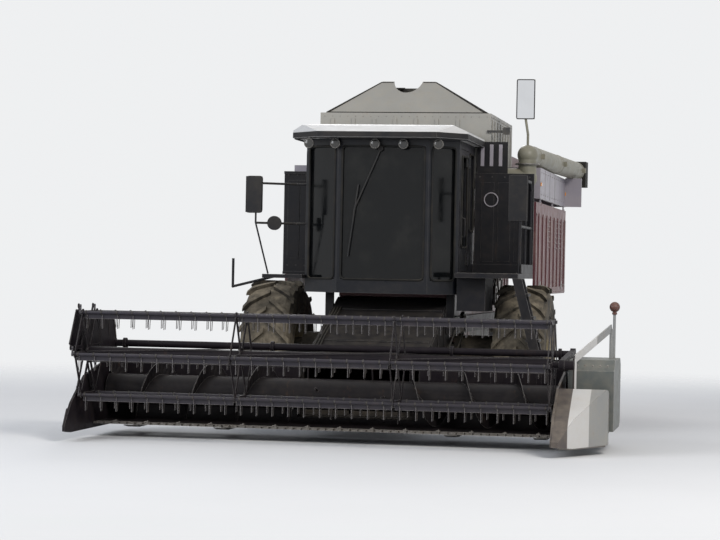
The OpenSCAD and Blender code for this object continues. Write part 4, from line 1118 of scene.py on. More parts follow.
@dataclass
class HeaderTable:
    """Knife, bolts, ribs, hoses and drives of the cutting header."""

    right: float = -2.48
    left: float = 2.05
    knife_s: float = 3.15
    blade_pitch: float = 0.0762
    clips: int = 14
    clip_pitch: float = 0.317
    floor: float = 0.14
    skids: tuple[float, ...] = (-2.2, -1.3, 0.95, 1.8)  # right edges of the skid plates
    skid_width: float = 0.12
    # Side view of a skid plate, as (s, z).
    skid_path: tuple[Spot, ...] = ((2.42, 0.094), (2.6, 0.082), (2.95, 0.082), (3.1, 0.104))
    beam_s: float = 2.342  # rear face of the back wall's frame
    wall_s: float = 2.418  # front face of the back wall
    top: float = 0.8
    wall_bolts: int = 19
    wall_pitch: float = 0.242
    opening: float = 0.66  # half width of the feeder's opening
    wall_ribs: tuple[float, ...] = (-2.0, -1.5, 1.3, 1.75)
    shaft_z: float = 0.62
    shaft_ends: Spot = (0.72, 1.98)

    def knife(self) -> None:
        """Lay the knife's blades between the guards, with the clips that hold it down."""
        draft = Draft()
        s, z = self.knife_s, self.floor + 0.0015
        blade = ((0, 0.032), (0.070, 0.032), (0.044, 0.082), (0.026, 0.082))
        for i in range(int((self.left - self.right - 0.1) / self.blade_pitch)):
            x = self.right + 0.06 + i * self.blade_pitch
            draft.plate([at(x + a, s + b, z) for a, b in blade], Vector((0, 0, 0.003)))
        draft.block((self.right + 0.03, self.left - 0.03), (s + 0.018, s + 0.036), (z, z + 0.006))
        for i in range(self.clips):
            x = self.right + 0.2 + i * self.clip_pitch
            draft.block((x, x + 0.035), (s - 0.02, s + 0.05), (z + 0.006, z + 0.014))
            draft.bolt(at(x + 0.0175, s - 0.005, z + 0.014), Axis.UP.vector, 0.007)
        draft.place("knife_blades", HEADER, Paints.steel)

    def skid_plates(self) -> None:
        """Fit the skid plates under the table."""
        draft = Draft()
        for right in self.skids:
            left = right + self.skid_width
            for (s0, z0), (s1, z1) in zip(self.skid_path, self.skid_path[1:]):
                corners = [at(right, s0, z0), at(left, s0, z0), at(left, s1, z1), at(right, s1, z1)]
                draft.plate(corners, Vector((0, 0, 0.008)))
        draft.place("table_skids", HEADER, Paints.steel, 0.001)

    def back_ribs(self) -> None:
        """Rib and bolt the back wall, and edge its top."""
        draft = Draft()
        wall, top, ahead = self.wall_s, self.top, Axis.AHEAD.vector
        draft.block((self.right, self.left), (wall, wall + 0.008), (top - 0.05, top + 0.006))
        for i in range(self.wall_bolts):
            x = self.right + 0.12 + i * self.wall_pitch
            if abs(x) > self.opening:
                draft.bolt(at(x, wall + 0.008, top - 0.025), ahead, 0.008)
                draft.bolt(at(x, self.beam_s, top - 0.03), -ahead, 0.009)
        for x in self.wall_ribs:
            draft.block((x, x + 0.05), (wall, wall + 0.005), (0.52, top - 0.05))
        draft.place("back_wall_trim", HEADER, Paints.header, 0.001)

    def shaft(self) -> None:
        """Drive shaft along the header's back, with its guard cones and the gearbox at its end."""
        draft = Draft()
        s, z, (inner, outer) = self.beam_s - 0.05, self.shaft_z, self.shaft_ends
        draft.tube([at(inner, s, z), at(outer, s, z)], 0.028, 12)
        cone = [(0, 0), (0.06, 0), (0.05, 0.06), (0.034, 0.12), (0, 0.12)]
        for x in (inner, outer - 0.12):
            draft.turned(at(x, s, z), Axis.LEFT.vector, cone, 20)
        draft.place("header_drive_shaft", HEADER, Paints.guard)
        box = Draft()
        box.block((outer - 0.02, outer + 0.12), (s - 0.1, s + 0.045), (z - 0.11, z + 0.11))
        box.place("header_gearbox", HEADER, Paints.axle, 0.02)

    def hoses(self) -> None:
        """Run the reel's hydraulic hoses along the back wall."""
        draft = Draft()
        for side, end, z in ((-1, -2.45, 0.83), (1, 2.05, 0.85)):
            draft.tube(spline([
                at(side * 0.5, 2.2, z), at(side * 0.62, 2.3, 0.84), at(side * 0.9, 2.345, 0.826),
                at(side * 1.5, 2.35, 0.816), at(end, 2.36, 0.814),
            ], 6), 0.009, 8)
        draft.place("reel_hoses", HEADER, Paints.boot)

    def build(self) -> None:
        """Build all the header's fittings."""
        self.knife()
        self.skid_plates()
        self.back_ribs()
        self.shaft()
        self.hoses()


def rounded(corners: Sequence[Vector], radius: float, steps: int = 5) -> list[Vector]:
    """Round the corners of a closed outline.

    Args:
        corners: the outline's corners.
        radius: how far from a corner its arc starts.
        steps: points on each arc.

    Returns:
        The rounded outline's points.
    """
    points = []
    shares = [k / steps for k in range(steps + 1)]
    for i, p in enumerate(corners):
        before, after = corners[i - 1], corners[(i + 1) % len(corners)]
        a = p + (before - p).normalized() * min(radius, (before - p).length * 0.45)
        b = p + (after - p).normalized() * min(radius, (after - p).length * 0.45)
        points += [a.lerp(p, t).lerp(p.lerp(b, t), t) for t in shares]
    return points


def spline(points: Sequence[Vector], steps: int) -> list[Vector]:
    """Pass a smooth curve through points.

    Args:
        points: the points to pass.
        steps: pieces between two points.

    Returns:
        The curve's points.
    """
    ends = [points[0] * 2 - points[1], *points, points[-1] * 2 - points[-2]]
    curve = []
    for i in range(1, len(ends) - 2):
        a, b, c, d = ends[i - 1 : i + 3]
        slope, bend, twist = c - a, 2 * a - 5 * b + 4 * c - d, 3 * b - a - 3 * c + d
        for t in (k / steps for k in range(steps)):
            curve.append(0.5 * (2 * b + slope * t + bend * t * t + twist * t ** 3))
    return [*curve, points[-1]]


@dataclass
class Reel:
    """Tine springs, bolts, rods and right end sheet of the reel."""

    s: float = 3.55
    z: float = 0.82
    radius: float = 0.45  # radius of the circle of tine bars
    bars: int = 6
    bar_right: float = -2.44
    bar_left: float = 2.03
    tines: int = 30
    bar_radius: float = 0.016
    wire: float = 0.0028
    clips: int = 5  # number of clips between two spiders
    spiders: tuple[float, ...] = (-2.425, -0.934, 0.566, 2.008)
    hub_ring: float = 0.08
    rod_ring: float = 0.09  # distance of the rods between the spiders from the reel's axis
    arm_pivot: Spot = (2.4, 0.88)  # the arms' pivot, as (s, z)
    arm_sides: tuple[Spot, ...] = ((-2.555, -1.0), (2.125, 1.0))  # outer face and side of each arm
    arm_bolts: int = 7
    sheet_x: float = -2.505
    sheet: tuple[Spot, ...] = (
        (2.46, 0.83), (2.39, 0.93), (2.47, 1.12), (2.55, 1.18),
        (3.74, 1.235), (3.93, 0.90), (3.62, 0.775),
    )
    # Lower and upper end of the sheet's ribs, as (s, z).
    ribs: tuple[tuple[Spot, Spot], ...] = (
        ((2.62, 0.95), (2.66, 1.15)), ((2.90, 0.94), (2.93, 1.165)),
        ((3.18, 0.93), (3.2, 1.18)), ((3.5, 0.93), (3.5, 1.195)),
    )
    # The tube along the sheet's upper edge, as (s, z).
    rim: tuple[Spot, ...] = ((2.57, 1.176), (3.72, 1.23), (3.915, 0.91))
    # The bare tube along its rear edge, as (s, z).
    rail: tuple[Spot, ...] = ((2.40, 0.94), (2.47, 1.11), (2.54, 1.172))
    sheet_bolts: tuple[float, ...] = (2.56, 2.75, 2.95, 3.15, 3.35)

    def spoke(self, x: float, ring: float, angle: float) -> Vector:
        """Find a point at a distance from the reel's axis.

        Args:
            x: distance to the machine's left.
            ring: distance from the axis.
            angle: the direction from the axis, from straight ahead upward.

        Returns:
            The point in the frame.
        """
        return at(x, self.s + ring * math.cos(angle), self.z + ring * math.sin(angle))

    def bar_place(self, k: int) -> Spot:
        """Find where bar k lies at rest, as (s, z)."""
        a = math.radians(60 * k)
        return self.s + self.radius * math.cos(a), self.z + self.radius * math.sin(a)

    def tine_row(self) -> list[float]:
        """List the tines' places along a bar."""
        pitch = (self.bar_left - self.bar_right - 0.1) / (self.tines - 1)
        return [self.bar_right + 0.06 + i * pitch for i in range(self.tines)]

    def coils(self, k: int) -> None:
        """Wind each tine's spring round bar k, and clip the bats to it.

        Args:
            k: the bar's number.
        """
        s, z = self.bar_place(k)
        draft = Draft()
        wind = self.bar_radius + 0.004
        steps = [(n / 8, 2 * math.pi * n / 8 - math.pi / 2) for n in range(25)]
        for x in self.tine_row():
            coil = [
                at(x - 0.014 + 0.004 * t, s + wind * math.cos(a), z + wind * math.sin(a))
                for t, a in steps
            ]
            draft.tube(coil, self.wire, 5)
        for right, left in zip(self.spiders, self.spiders[1:]):
            x0, x1 = right + 0.02, left - 0.012
            for n in range(self.clips):
                x = x0 + (x1 - x0) * (n + 0.5) / self.clips + 0.04
                draft.bolt(at(x, s - self.bar_radius, z - 0.03), -Axis.AHEAD.vector, 0.006)
        draft.place(f"tine_springs_{k}", f"tines_{k}", Paints.tine)

    def fingers(self, k: int) -> None:
        """Bend each tine's tip forward as a spring finger of bar k.

        Args:
            k: the bar's number.
        """
        s, z = self.bar_place(k)
        draft = Draft()
        for x in self.tine_row():
            draft.tube([
                at(x + 0.012, s - 0.018, z - 0.004), at(x + 0.012, s - 0.016, z - 0.07),
                at(x + 0.011, s - 0.006, z - 0.145),
            ], 0.0035, 6)
        draft.place(f"tine_fingers_{k}", f"tines_{k}", Paints.tine)

    def braces(self) -> None:
        """Bolt the spiders to their hub plates and stretch the rods between them."""
        draft = Draft()
        for x in self.spiders:
            side = 1.0 if x < 0 else -1.0
            face = x + (0.008 if side > 0 else 0.0)
            for a in turns(6, 0.5):
                draft.bolt(self.spoke(face, self.hub_ring, a), Axis.LEFT.vector * side, 0.009)
        for right, left in zip(self.spiders, self.spiders[1:]):
            for a in turns(3, 0.2):
                start = self.spoke(right + 0.008, self.rod_ring, a)
                draft.tube([start, self.spoke(left, self.rod_ring, a + 0.8)], 0.005, 6)
        draft.place("reel_braces", "reel_rotor", Paints.header)

    def arms(self) -> None:
        """Bolt the edge strips on the two arms."""
        draft = Draft()
        pivot_s, pivot_z = self.arm_pivot
        for x, side in self.arm_sides:
            for n in range(self.arm_bolts):
                t = 0.1 + n * 0.13
                s, z = pivot_s + (self.s - pivot_s) * t, pivot_z + (self.z - pivot_z) * t
                draft.bolt(at(x, s, z + 0.025), Axis.LEFT.vector * side, 0.0045)
        draft.place("arm_bolts", "arms", Paints.steel)

    def end_sheet(self) -> None:
        """Dark sheet behind the reel's right end, in the gap between its arm and the end wall."""
        x = self.sheet_x
        outline = rounded([Vector(p) for p in self.sheet], 0.05)
        sheet = Draft()
        sheet.plate([at(x, s, z) for s, z in outline], Vector((0.0025, 0, 0)))
        for low, high in self.ribs:
            sheet.tube([at(x, *low), at(x, *high)], 0.008, 8)
        sheet.tube([at(x, *p) for p in self.rim], 0.007, 8)
        for s in self.sheet_bolts:
            sheet.bolt(at(x, s, 0.935), -Axis.LEFT.vector, 0.008)
        sheet.place("reel_end_sheet", "arms", Paints.header, 0.0005)
        edge = Draft()
        edge.tube([at(x, *p) for p in self.rail], 0.009, 8)
        edge.place("reel_end_rail", "arms", Paints.steel)

    def build(self) -> None:
        """Build all the reel's fittings."""
        for k in range(1, self.bars + 1):
            self.coils(k)
            self.fingers(k)
        self.braces()
        self.arms()
        self.end_sheet()


@dataclass
class Flanks:
    """Ribs, edge strips, louvres, latches and lamps of the side shields and upper panels."""

    x: float = 1.41
    rear: float = -4.05
    front: float = -0.5
    low: float = 1.42
    top: float = 2.45
    ribs: int = 8
    rib_pitch: float = 0.44
    rib_shifts: tuple[float, ...] = (-0.16, 0.0, 0.16)  # places of the ribs in a group
    rivets: int = 16
    rivet_pitch: float = 0.228
    # Numbers of the rib groups after which a field of louvres follows.
    vents: tuple[int, ...] = (1, 2, 4)
    slots: int = 6
    slot_pitch: float = 0.06
    slot_width: float = 0.26
    panel: Spot = (2.5, 2.845)  # lower and upper edge of the upper panels
    panel_bolts: int = 13
    panel_pitch: float = 0.245
    seams: tuple[float, ...] = (-2.6, -2.0, -1.45)
    # Rear and front end of the gap in the right panel, by the radiator screen.
    bay: Spot = (-3.64, -2.76)

    def rib_faces(self, side: float, body: str, name: str) -> None:
        """Lay the pale faces on a shield's ribs.

        Args:
            side: 1 on the left, -1 on the right.
            body: the shield's body.
            name: a short name for its pieces.
        """
        draft = Draft()
        height = (self.low + 0.09, self.top - 0.13)
        for i in range(self.ribs):
            for shift in self.rib_shifts:
                x = self.x + (0.015 if shift == 0 else 0.0)
                s = self.rear + 0.2 + i * self.rib_pitch + shift
                draft.side_block(side, (x, x + 0.004), (s + 0.006, s + 0.034), height)
        draft.place(f"{name}_rib_faces", body, Paints.pale, 0.0015)

    def trim(self, side: float, body: str, name: str) -> None:
        """Edge, rivet and louvre a shield, with painted shade in the louvres' openings.

        Args:
            side: 1 on the left, -1 on the right.
            body: the shield's body.
            name: a short name for its pieces.
        """
        trim, dark = Draft(), Draft()
        strip = (self.x, self.x + 0.006)
        for z in (self.low + 0.012, self.top - 0.15):
            trim.side_block(side, strip, (self.rear + 0.02, self.front - 0.02), (z, z + 0.03))
        for s in (self.rear + 0.02, self.front - 0.05):
            trim.side_block(side, strip, (s, s + 0.03), (self.low + 0.012, self.top - 0.13))
        for i in range(self.rivets):
            s = self.rear + 0.09 + i * self.rivet_pitch
            trim.bolt(at(side * strip[1], s, self.low + 0.027), Axis.LEFT.vector * side, 0.006)
        near, far = side * self.x, side * (self.x + 0.014)
        for i in self.vents:
            s0 = self.rear + 0.3 + i * self.rib_pitch
            s1 = s0 + self.slot_width
            for n in range(self.slots):
                z = self.low + 0.55 + n * self.slot_pitch
                # Black strips of painted shade stand for the dark openings under the louvres'
                # hoods.
                dark.side_block(side, (self.x, self.x + 0.004), (s0, s1), (z, z + 0.014))
                high, low = z + 0.014, z - 0.006
                hood = [at(near, s0, high), at(near, s1, high), at(far, s1, low), at(far, s0, low)]
                trim.plate(hood, Vector((0, 0, 0.003)))
        trim.place(f"{name}_trim", body, Paints.maroon, 0.001)
        dark.place(f"{name}_louvre_slots", body, Paints.boot)

    def latches(self, side: float, body: str, name: str) -> None:
        """Fit a shield's two latches.

        Args:
            side: 1 on the left, -1 on the right.
            body: the shield's body.
            name: a short name for its pieces.
        """
        draft = Draft()
        z, near = self.low + 0.105, side * (self.x + 0.008)
        far = near + side * 0.03
        for s in (self.rear + 0.5, self.front - 0.5):
            base = (self.low + 0.06, self.low + 0.15)
            draft.side_block(side, (self.x, self.x + 0.008), (s - 0.05, s + 0.05), base)
            s0, s1 = s - 0.03, s + 0.03
            draft.tube([at(near, s0, z), at(far, s0, z), at(far, s1, z), at(near, s1, z)], 0.005, 8)
        draft.place(f"{name}_latches", body, Paints.steel, 0.001)

    def upper(self) -> None:
        """Seams, bolts and marker lamps of the upper panels."""
        trim, lens = Draft(), Draft()
        low, high = self.panel
        seam, glass = (low + 0.01, high - 0.01), (low + 0.14, low + 0.18)
        for side in (1.0, -1.0):
            for i in range(self.panel_bolts):
                s = self.rear + 0.1 + i * self.panel_pitch
                if side > 0 or not self.bay[0] - 0.02 < s < self.bay[1] + 0.02:
                    for z in (low + 0.05, high - 0.05):
                        trim.bolt(at(side * self.x, s, z), Axis.LEFT.vector * side, 0.007)
            for s in self.seams:
                trim.side_block(side, (self.x, self.x + 0.004), (s, s + 0.03), seam)
            for s in (self.rear + 0.07, -1.0):
                lens.side_block(side, (self.x, self.x + 0.014), (s, s + 0.09), glass)
        trim.place("upper_panel_seams", CHASSIS, Paints.lilac, 0.001)
        lens.place("marker_lamps", CHASSIS, Paints.amber, 0.004)

    def build(self) -> None:
        """Dress both shields and the upper panels."""
        shields = ((1.0, "side_door_l", "shield_l"), (-1.0, "side_door_r", "shield_r"))
        for side, body, name in shields:
            self.rib_faces(side, body, name)
            self.trim(side, body, name)
            self.latches(side, body, name)
        self.upper()


@dataclass
class Tank:
    """Ribs, rivets and rim of the grain tank and its cover."""

    right: float = -1.02
    left: float = 0.9
    rear: float = -2.45
    front: float = -0.42
    knee: float = 2.75  # where the upright walls begin
    top: float = 3.4
    panel_right: float = 0.7  # where the black panel of painted shadow on the front wall begins
    panels_top: float = 2.83  # top of the upper panels beside the side walls
    ribs: int = 8
    rib_rise: float = 0.012
    rib_pitches: Spot = (0.235, 0.25)  # distance between the ribs along x and along s
    rivets: tuple[int, int] = (22, 23)  # number of rivets along x and along s
    rivet_pitches: Spot = (0.087, 0.088)  # distance between the rivets along x and along s
    # Corners of the cover's foot, as (x, s).
    foot: tuple[Spot, ...] = ((-0.96, -2.39), (0.84, -2.39), (0.84, -0.48), (-0.96, -0.48))
    # Corners of the cover's mouth, as (x, s).
    mouth: tuple[Spot, ...] = ((-0.434, -1.80), (0.194, -1.80), (0.194, -1.006), (-0.434, -1.006))
    cover_rise: float = 0.398
    # Right and left end of the gaps in the mouth's front and rear edges.
    notch: Spot = (-0.296, 0.046)
    cover_bolts: int = 9

    def wall_ribs(self) -> None:
        """Press the ribs of the four upright walls."""
        draft = Draft()
        low, high, rise = self.knee + 0.03, self.top - 0.05, self.rib_rise
        for i in range(self.ribs):
            x = self.right + 0.12 + i * self.rib_pitches[0]
            if x <= self.panel_right:
                draft.block((x, x + 0.04), (self.front, self.front + rise), (low, high))
            draft.block((x, x + 0.04), (self.rear - rise, self.rear), (low, high))
        for i in range(self.ribs):
            s = self.rear + 0.14 + i * self.rib_pitches[1]
            for x in ((self.right - rise, self.right), (self.left, self.left + rise)):
                draft.block(x, (s, s + 0.045), (max(low, self.panels_top), high))
        draft.place("tank_ribs", CHASSIS, Paints.tank, 0.004)

    def wall_rivets(self) -> None:
        """Rivet the rim on the four walls."""
        draft = Draft()
        z, ahead, left = self.top - 0.025, Axis.AHEAD.vector, Axis.LEFT.vector
        for i in range(self.rivets[0]):
            x = self.right + 0.05 + i * self.rivet_pitches[0]
            draft.bolt(at(x, self.front, z), ahead, 0.005)
            draft.bolt(at(x, self.rear, z), -ahead, 0.005)
        for i in range(self.rivets[1]):
            s = self.rear + 0.05 + i * self.rivet_pitches[1]
            draft.bolt(at(self.left, s, z), left, 0.005)
            draft.bolt(at(self.right, s, z), -left, 0.005)
        draft.place("tank_rivets", CHASSIS, Paints.steel)

    def cover(self) -> None:
        """Fold the dark edge strips along the cover's ridges and round its mouth."""
        draft = Draft()
        rim = self.top + self.cover_rise
        for low, high in zip(self.foot, self.mouth):
            draft.tube([at(*low, self.top + 0.018), at(*high, rim)], 0.012, 8)
        foot = [at(x, s, self.top + 0.02) for x, s in self.foot]
        draft.tube(rounded(foot, 0.03), 0.010, 8, closed=True)
        for a, b in zip(self.mouth, self.mouth[1:] + self.mouth[:1]):
            if a[1] != b[1]:
                draft.tube([at(*a, rim), at(*b, rim)], 0.012, 8)
                continue
            for x0, x1 in ((min(a[0], b[0]), self.notch[0]), (self.notch[1], max(a[0], b[0]))):
                draft.tube([at(x0, a[1], rim), at(x1, a[1], rim)], 0.012, 8)
        draft.place("cover_edge_strips", CHASSIS, Paints.boot)
        bolts = Draft()
        for i in range(self.cover_bolts):
            for x in (-0.99, 0.87):
                bolts.bolt(at(x, -2.3 + i * 0.21, self.top + 0.015), Axis.UP.vector, 0.008)
        bolts.place("cover_bolts", CHASSIS, Paints.steel)

    def build(self) -> None:
        """Build the tank's fittings."""
        self.wall_ribs()
        self.wall_rivets()
        self.cover()


@dataclass
class EngineBay:
    """Radiator screen, louvres and handles of the engine hood."""

    half: float = 0.88
    rear: float = -3.9
    screen_s: float = -3.2
    screen_z: float = 2.62
    screen_r: float = 0.4
    meshes: int = 26  # number of the screen's meshes across
    wire: float = 0.002
    louvres: int = 10
    louvre_pitch: float = 0.055
    # Rear end and length of each field of louvres on the side.
    side_fields: tuple[Spot, ...] = ((-3.7, 0.42), (-3.2, 0.42), (-2.9, 0.26))
    # Right end of each field of louvres on the rear.
    rear_fields: tuple[float, ...] = (-0.7, -0.2, 0.3)
    handles: tuple[float, ...] = (-0.45, 0.45)

    def screen(self) -> None:
        """Weave the round screen's wires, with its cross bar and hub."""
        draft = Draft()
        x, s, z = -self.half - 0.045, self.screen_s, self.screen_z
        for i in range(1, self.meshes):
            d = -self.screen_r + 2 * self.screen_r * i / self.meshes
            reach = math.sqrt(self.screen_r ** 2 - d * d) - 0.018
            if reach > 0:
                draft.tube([at(x, s + d, z - reach), at(x, s + d, z + reach)], self.wire, 4)
                draft.tube([at(x, s - reach, z + d), at(x, s + reach, z + d)], self.wire, 4)
        draft.block((x - 0.012, x), (s - 0.02, s + 0.02), (z - 0.385, z + 0.385))
        hub = [(0, 0), (0.05, 0), (0.045, 0.014), (0, 0.015)]
        draft.turned(at(x, s, z), -Axis.LEFT.vector, hub, 20)
        draft.place("radiator_screen", CHASSIS, Paints.steel)

    def grilles(self) -> None:
        """Press the louvres of the hood's left and rear sides."""
        draft = Draft()
        thick = Vector((0, 0, 0.004))
        near, far, rear, out = self.half, self.half + 0.016, self.rear, self.rear - 0.016
        for i in range(self.louvres):
            z = 2.35 + i * self.louvre_pitch
            low = z - 0.02
            for s, width in self.side_fields:
                end = s + width
                slat = [at(near, s, z), at(near, end, z), at(far, end, low), at(far, s, low)]
                draft.plate(slat, thick)
            for x in self.rear_fields:
                end = x + 0.4
                slat = [at(x, rear, z), at(end, rear, z), at(end, out, low), at(x, out, low)]
                draft.plate(slat, thick)
        draft.place("hood_louvres", CHASSIS, Paints.maroon)

    def grips(self) -> None:
        """Fit the two handles of the hood's rear side."""
        draft = Draft()
        near, far, z = self.rear, self.rear - 0.03, 2.28
        for x in self.handles:
            right, left = x - 0.06, x + 0.06
            grip = [at(right, near, z), at(right, far, z), at(left, far, z), at(left, near, z)]
            draft.tube(grip, 0.007, 8)
        draft.place("hood_handles", CHASSIS, Paints.steel)

    def build(self) -> None:
        """Build the engine bay's fittings."""
        self.screen()
        self.grilles()
        self.grips()


@dataclass
class Tail:
    """Ribs, curtain, fins and lamps of the straw hood and the chopper."""

    half: float = 0.6
    rear: float = -4.95
    rib_height: Spot = (1.3, 1.72)  # lower and upper end of the ribs
    side_ribs: tuple[float, ...] = (-4.78, -4.5, -4.25)
    rear_ribs: tuple[float, ...] = (-0.4, 0.0, 0.37)
    strips: int = 11
    strip_pitch: float = 0.102
    fins: int = 9
    fin_pitch: float = 0.13
    lamps: tuple[float, ...] = (-0.52, 0.42)  # right edges of the two rear lamps

    def hood_ribs(self) -> None:
        """Press the ribs of the straw hood."""
        draft = Draft()
        rise = (self.half, self.half + 0.012)
        for side in (1.0, -1.0):
            for s in self.side_ribs:
                draft.side_block(side, rise, (s, s + 0.035), self.rib_height)
        for x in self.rear_ribs:
            draft.block((x, x + 0.03), (self.rear, self.rear + 0.004), self.rib_height)
        draft.place("straw_hood_ribs", CHASSIS, Paints.maroon, 0.003)

    def curtain(self) -> None:
        """Hang the curtain's rubber strips."""
        draft = Draft()
        for i in range(self.strips):
            x = -0.56 + i * self.strip_pitch
            draft.block((x, x + 0.096), (-4.905, -4.897), (1.0, 1.3))
        draft.place("straw_curtain", CHASSIS, Paints.boot, 0.002)

    def chopper_fins(self) -> None:
        """Set the chopper's guide fins."""
        draft = Draft()
        for i in range(self.fins):
            x = -0.52 + i * self.fin_pitch
            draft.plate([
                at(x, -4.68, 0.852), at(x, -4.80, 0.93), at(x + 0.015, -4.90, 0.82),
                at(x + 0.01, -4.86, 0.74), at(x, -4.70, 0.79),
            ], Vector((0.004, 0, 0)))
        draft.place("chopper_fins", CHASSIS, Paints.chassis)

    def rear_lamps(self) -> None:
        """Fit the two rear lamps."""
        draft = Draft()
        for x in self.lamps:
            draft.block((x, x + 0.045), (self.rear + 0.001, self.rear + 0.02), (1.60, 1.69))
        draft.place("rear_lamps", CHASSIS, Paints.red_lens, 0.004)

    def build(self) -> None:
        """Build the tail's fittings."""
        self.hood_ribs()
        self.curtain()
        self.chopper_fins()
        self.rear_lamps()


@dataclass
class Feeder:
    """Ribs, pulleys, belt and hoses of the feeder house."""

    slope: float = math.radians(20)  # how far the house slopes down, in radians
    pivot: Spot = (0.47, 1.12)  # the house's pivot, as (s, z)
    half: float = 0.6
    # Places of the side ribs, down the slope.
    side_ribs: tuple[float, ...] = (0.35, 0.8, 1.25, 1.65)
    top_ribs: tuple[float, ...] = (0.3, 0.75, 1.2, 1.6)
    lower: float = 1.45  # distance of the lower pulley from the pivot
    lower_shape: tuple[Spot, ...] = (
        (0, 0), (0.03, 0), (0.03, 0.13), (0.13, 0.13), (0.13, 0.175),
        (0.11, 0.175), (0.10, 0.15), (0.03, 0.15), (0.03, 0.185), (0, 0.185),
    )
    upper_shape: tuple[Spot, ...] = (
        (0, 0), (0.04, 0), (0.04, 0.04), (0.117, 0.04), (0.117, 0.085),
        (0.102, 0.085), (0.09, 0.06), (0.04, 0.06), (0.04, 0.095), (0, 0.095),
    )
    belt_x: float = 0.752
    belt_upper: float = 0.115
    belt_lower: float = 0.128
    hoses: int = 3

    def along(self, x: float, run: float, up: float) -> Vector:
        """Find a point on the sloping house.

        Args:
            x: distance to the machine's left.
            run: distance down the slope from the pivot.
            up: distance above the middle.

        Returns:
            The point in the frame.
        """
        s, z = self.pivot
        ahead, rise = math.cos(self.slope), math.sin(self.slope)
        return at(x, s + run * ahead + up * rise, z - run * rise + up * ahead)

    def strip(self, draft: Draft, x: float, run: Spot, up: Spot, thick: float) -> None:
        """Add an upright strip to one side of the house.

        Args:
            draft: the piece to add to.
            x: the house's side.
            run: upper and lower end, down the slope.
            up: lower and upper edge, above the middle.
            thick: how far the strip stands out.
        """
        (start, end), (low, high) = run, up
        places = ((start, low), (end, low), (end, high), (start, high))
        draft.plate([self.along(x, *p) for p in places], Vector((math.copysign(thick, x), 0, 0)))

    def house_ribs(self) -> None:
        """Rib and edge the house's sides, and rib its top."""
        draft = Draft()
        for side in (self.half, -self.half):
            for run in self.side_ribs:
                self.strip(draft, side, (run, run + 0.04), (-0.24, 0.24), 0.012)
            for up in (0.2, -0.23):
                self.strip(draft, side, (0.1, 1.8), (up, up + 0.03), 0.01)
        right, left = -self.half + 0.02, self.half - 0.02
        outward = Vector((0, -math.sin(self.slope), math.cos(self.slope))) * 0.01
        for run in self.top_ribs:
            end = run + 0.04
            draft.plate([
                self.along(right, run, 0.25), self.along(left, run, 0.25),
                self.along(left, end, 0.25), self.along(right, end, 0.25),
            ], outward)
        draft.place("feeder_ribs", HEADER, Paints.chassis, 0.002)

    def drive(self) -> None:
        """Fit the two pulleys on the house's left side, and their belt."""
        pulleys, belt = Draft(), Draft()
        left = Axis.LEFT.vector
        pulleys.turned(self.along(self.half, self.lower, 0.0), left, self.lower_shape, 32)
        pulleys.turned(self.along(self.half + 0.09, 0.0, 0.0), left, self.upper_shape, 32)
        pulleys.place("feeder_pulleys", HEADER, Paints.steel, 0.001)
        path = []
        for start, steps, middle, radius in (
            (math.pi / 2, 24, 0.0, self.belt_upper),
            (-math.pi / 2, 20, self.lower, self.belt_lower),
        ):
            for n in range(steps + 1):
                a = start + math.pi * n / steps
                run, up = middle + radius * math.cos(a), radius * math.sin(a)
                path.append(self.along(self.belt_x, run, up))
        belt.tube(path, 0.009, 6, closed=True)
        belt.place("feeder_belt", HEADER, Paints.boot)

    def run_hoses(self) -> None:
        """Clip the hoses along the house's top."""
        draft = Draft()
        for i in range(self.hoses):
            x = -0.5 - i * 0.03
            path = [
                self.along(x, 0.3, 0.262), self.along(x, 0.7, 0.275),
                self.along(x - 0.01, 1.2, 0.268), self.along(x, 1.75, 0.262),
            ]
            draft.tube(spline(path, 6), 0.010, 8)
        draft.place("feeder_hoses", HEADER, Paints.boot)

    def build(self) -> None:
        """Build the feeder house's fittings."""
        self.house_ribs()
        self.drive()
        self.run_hoses()


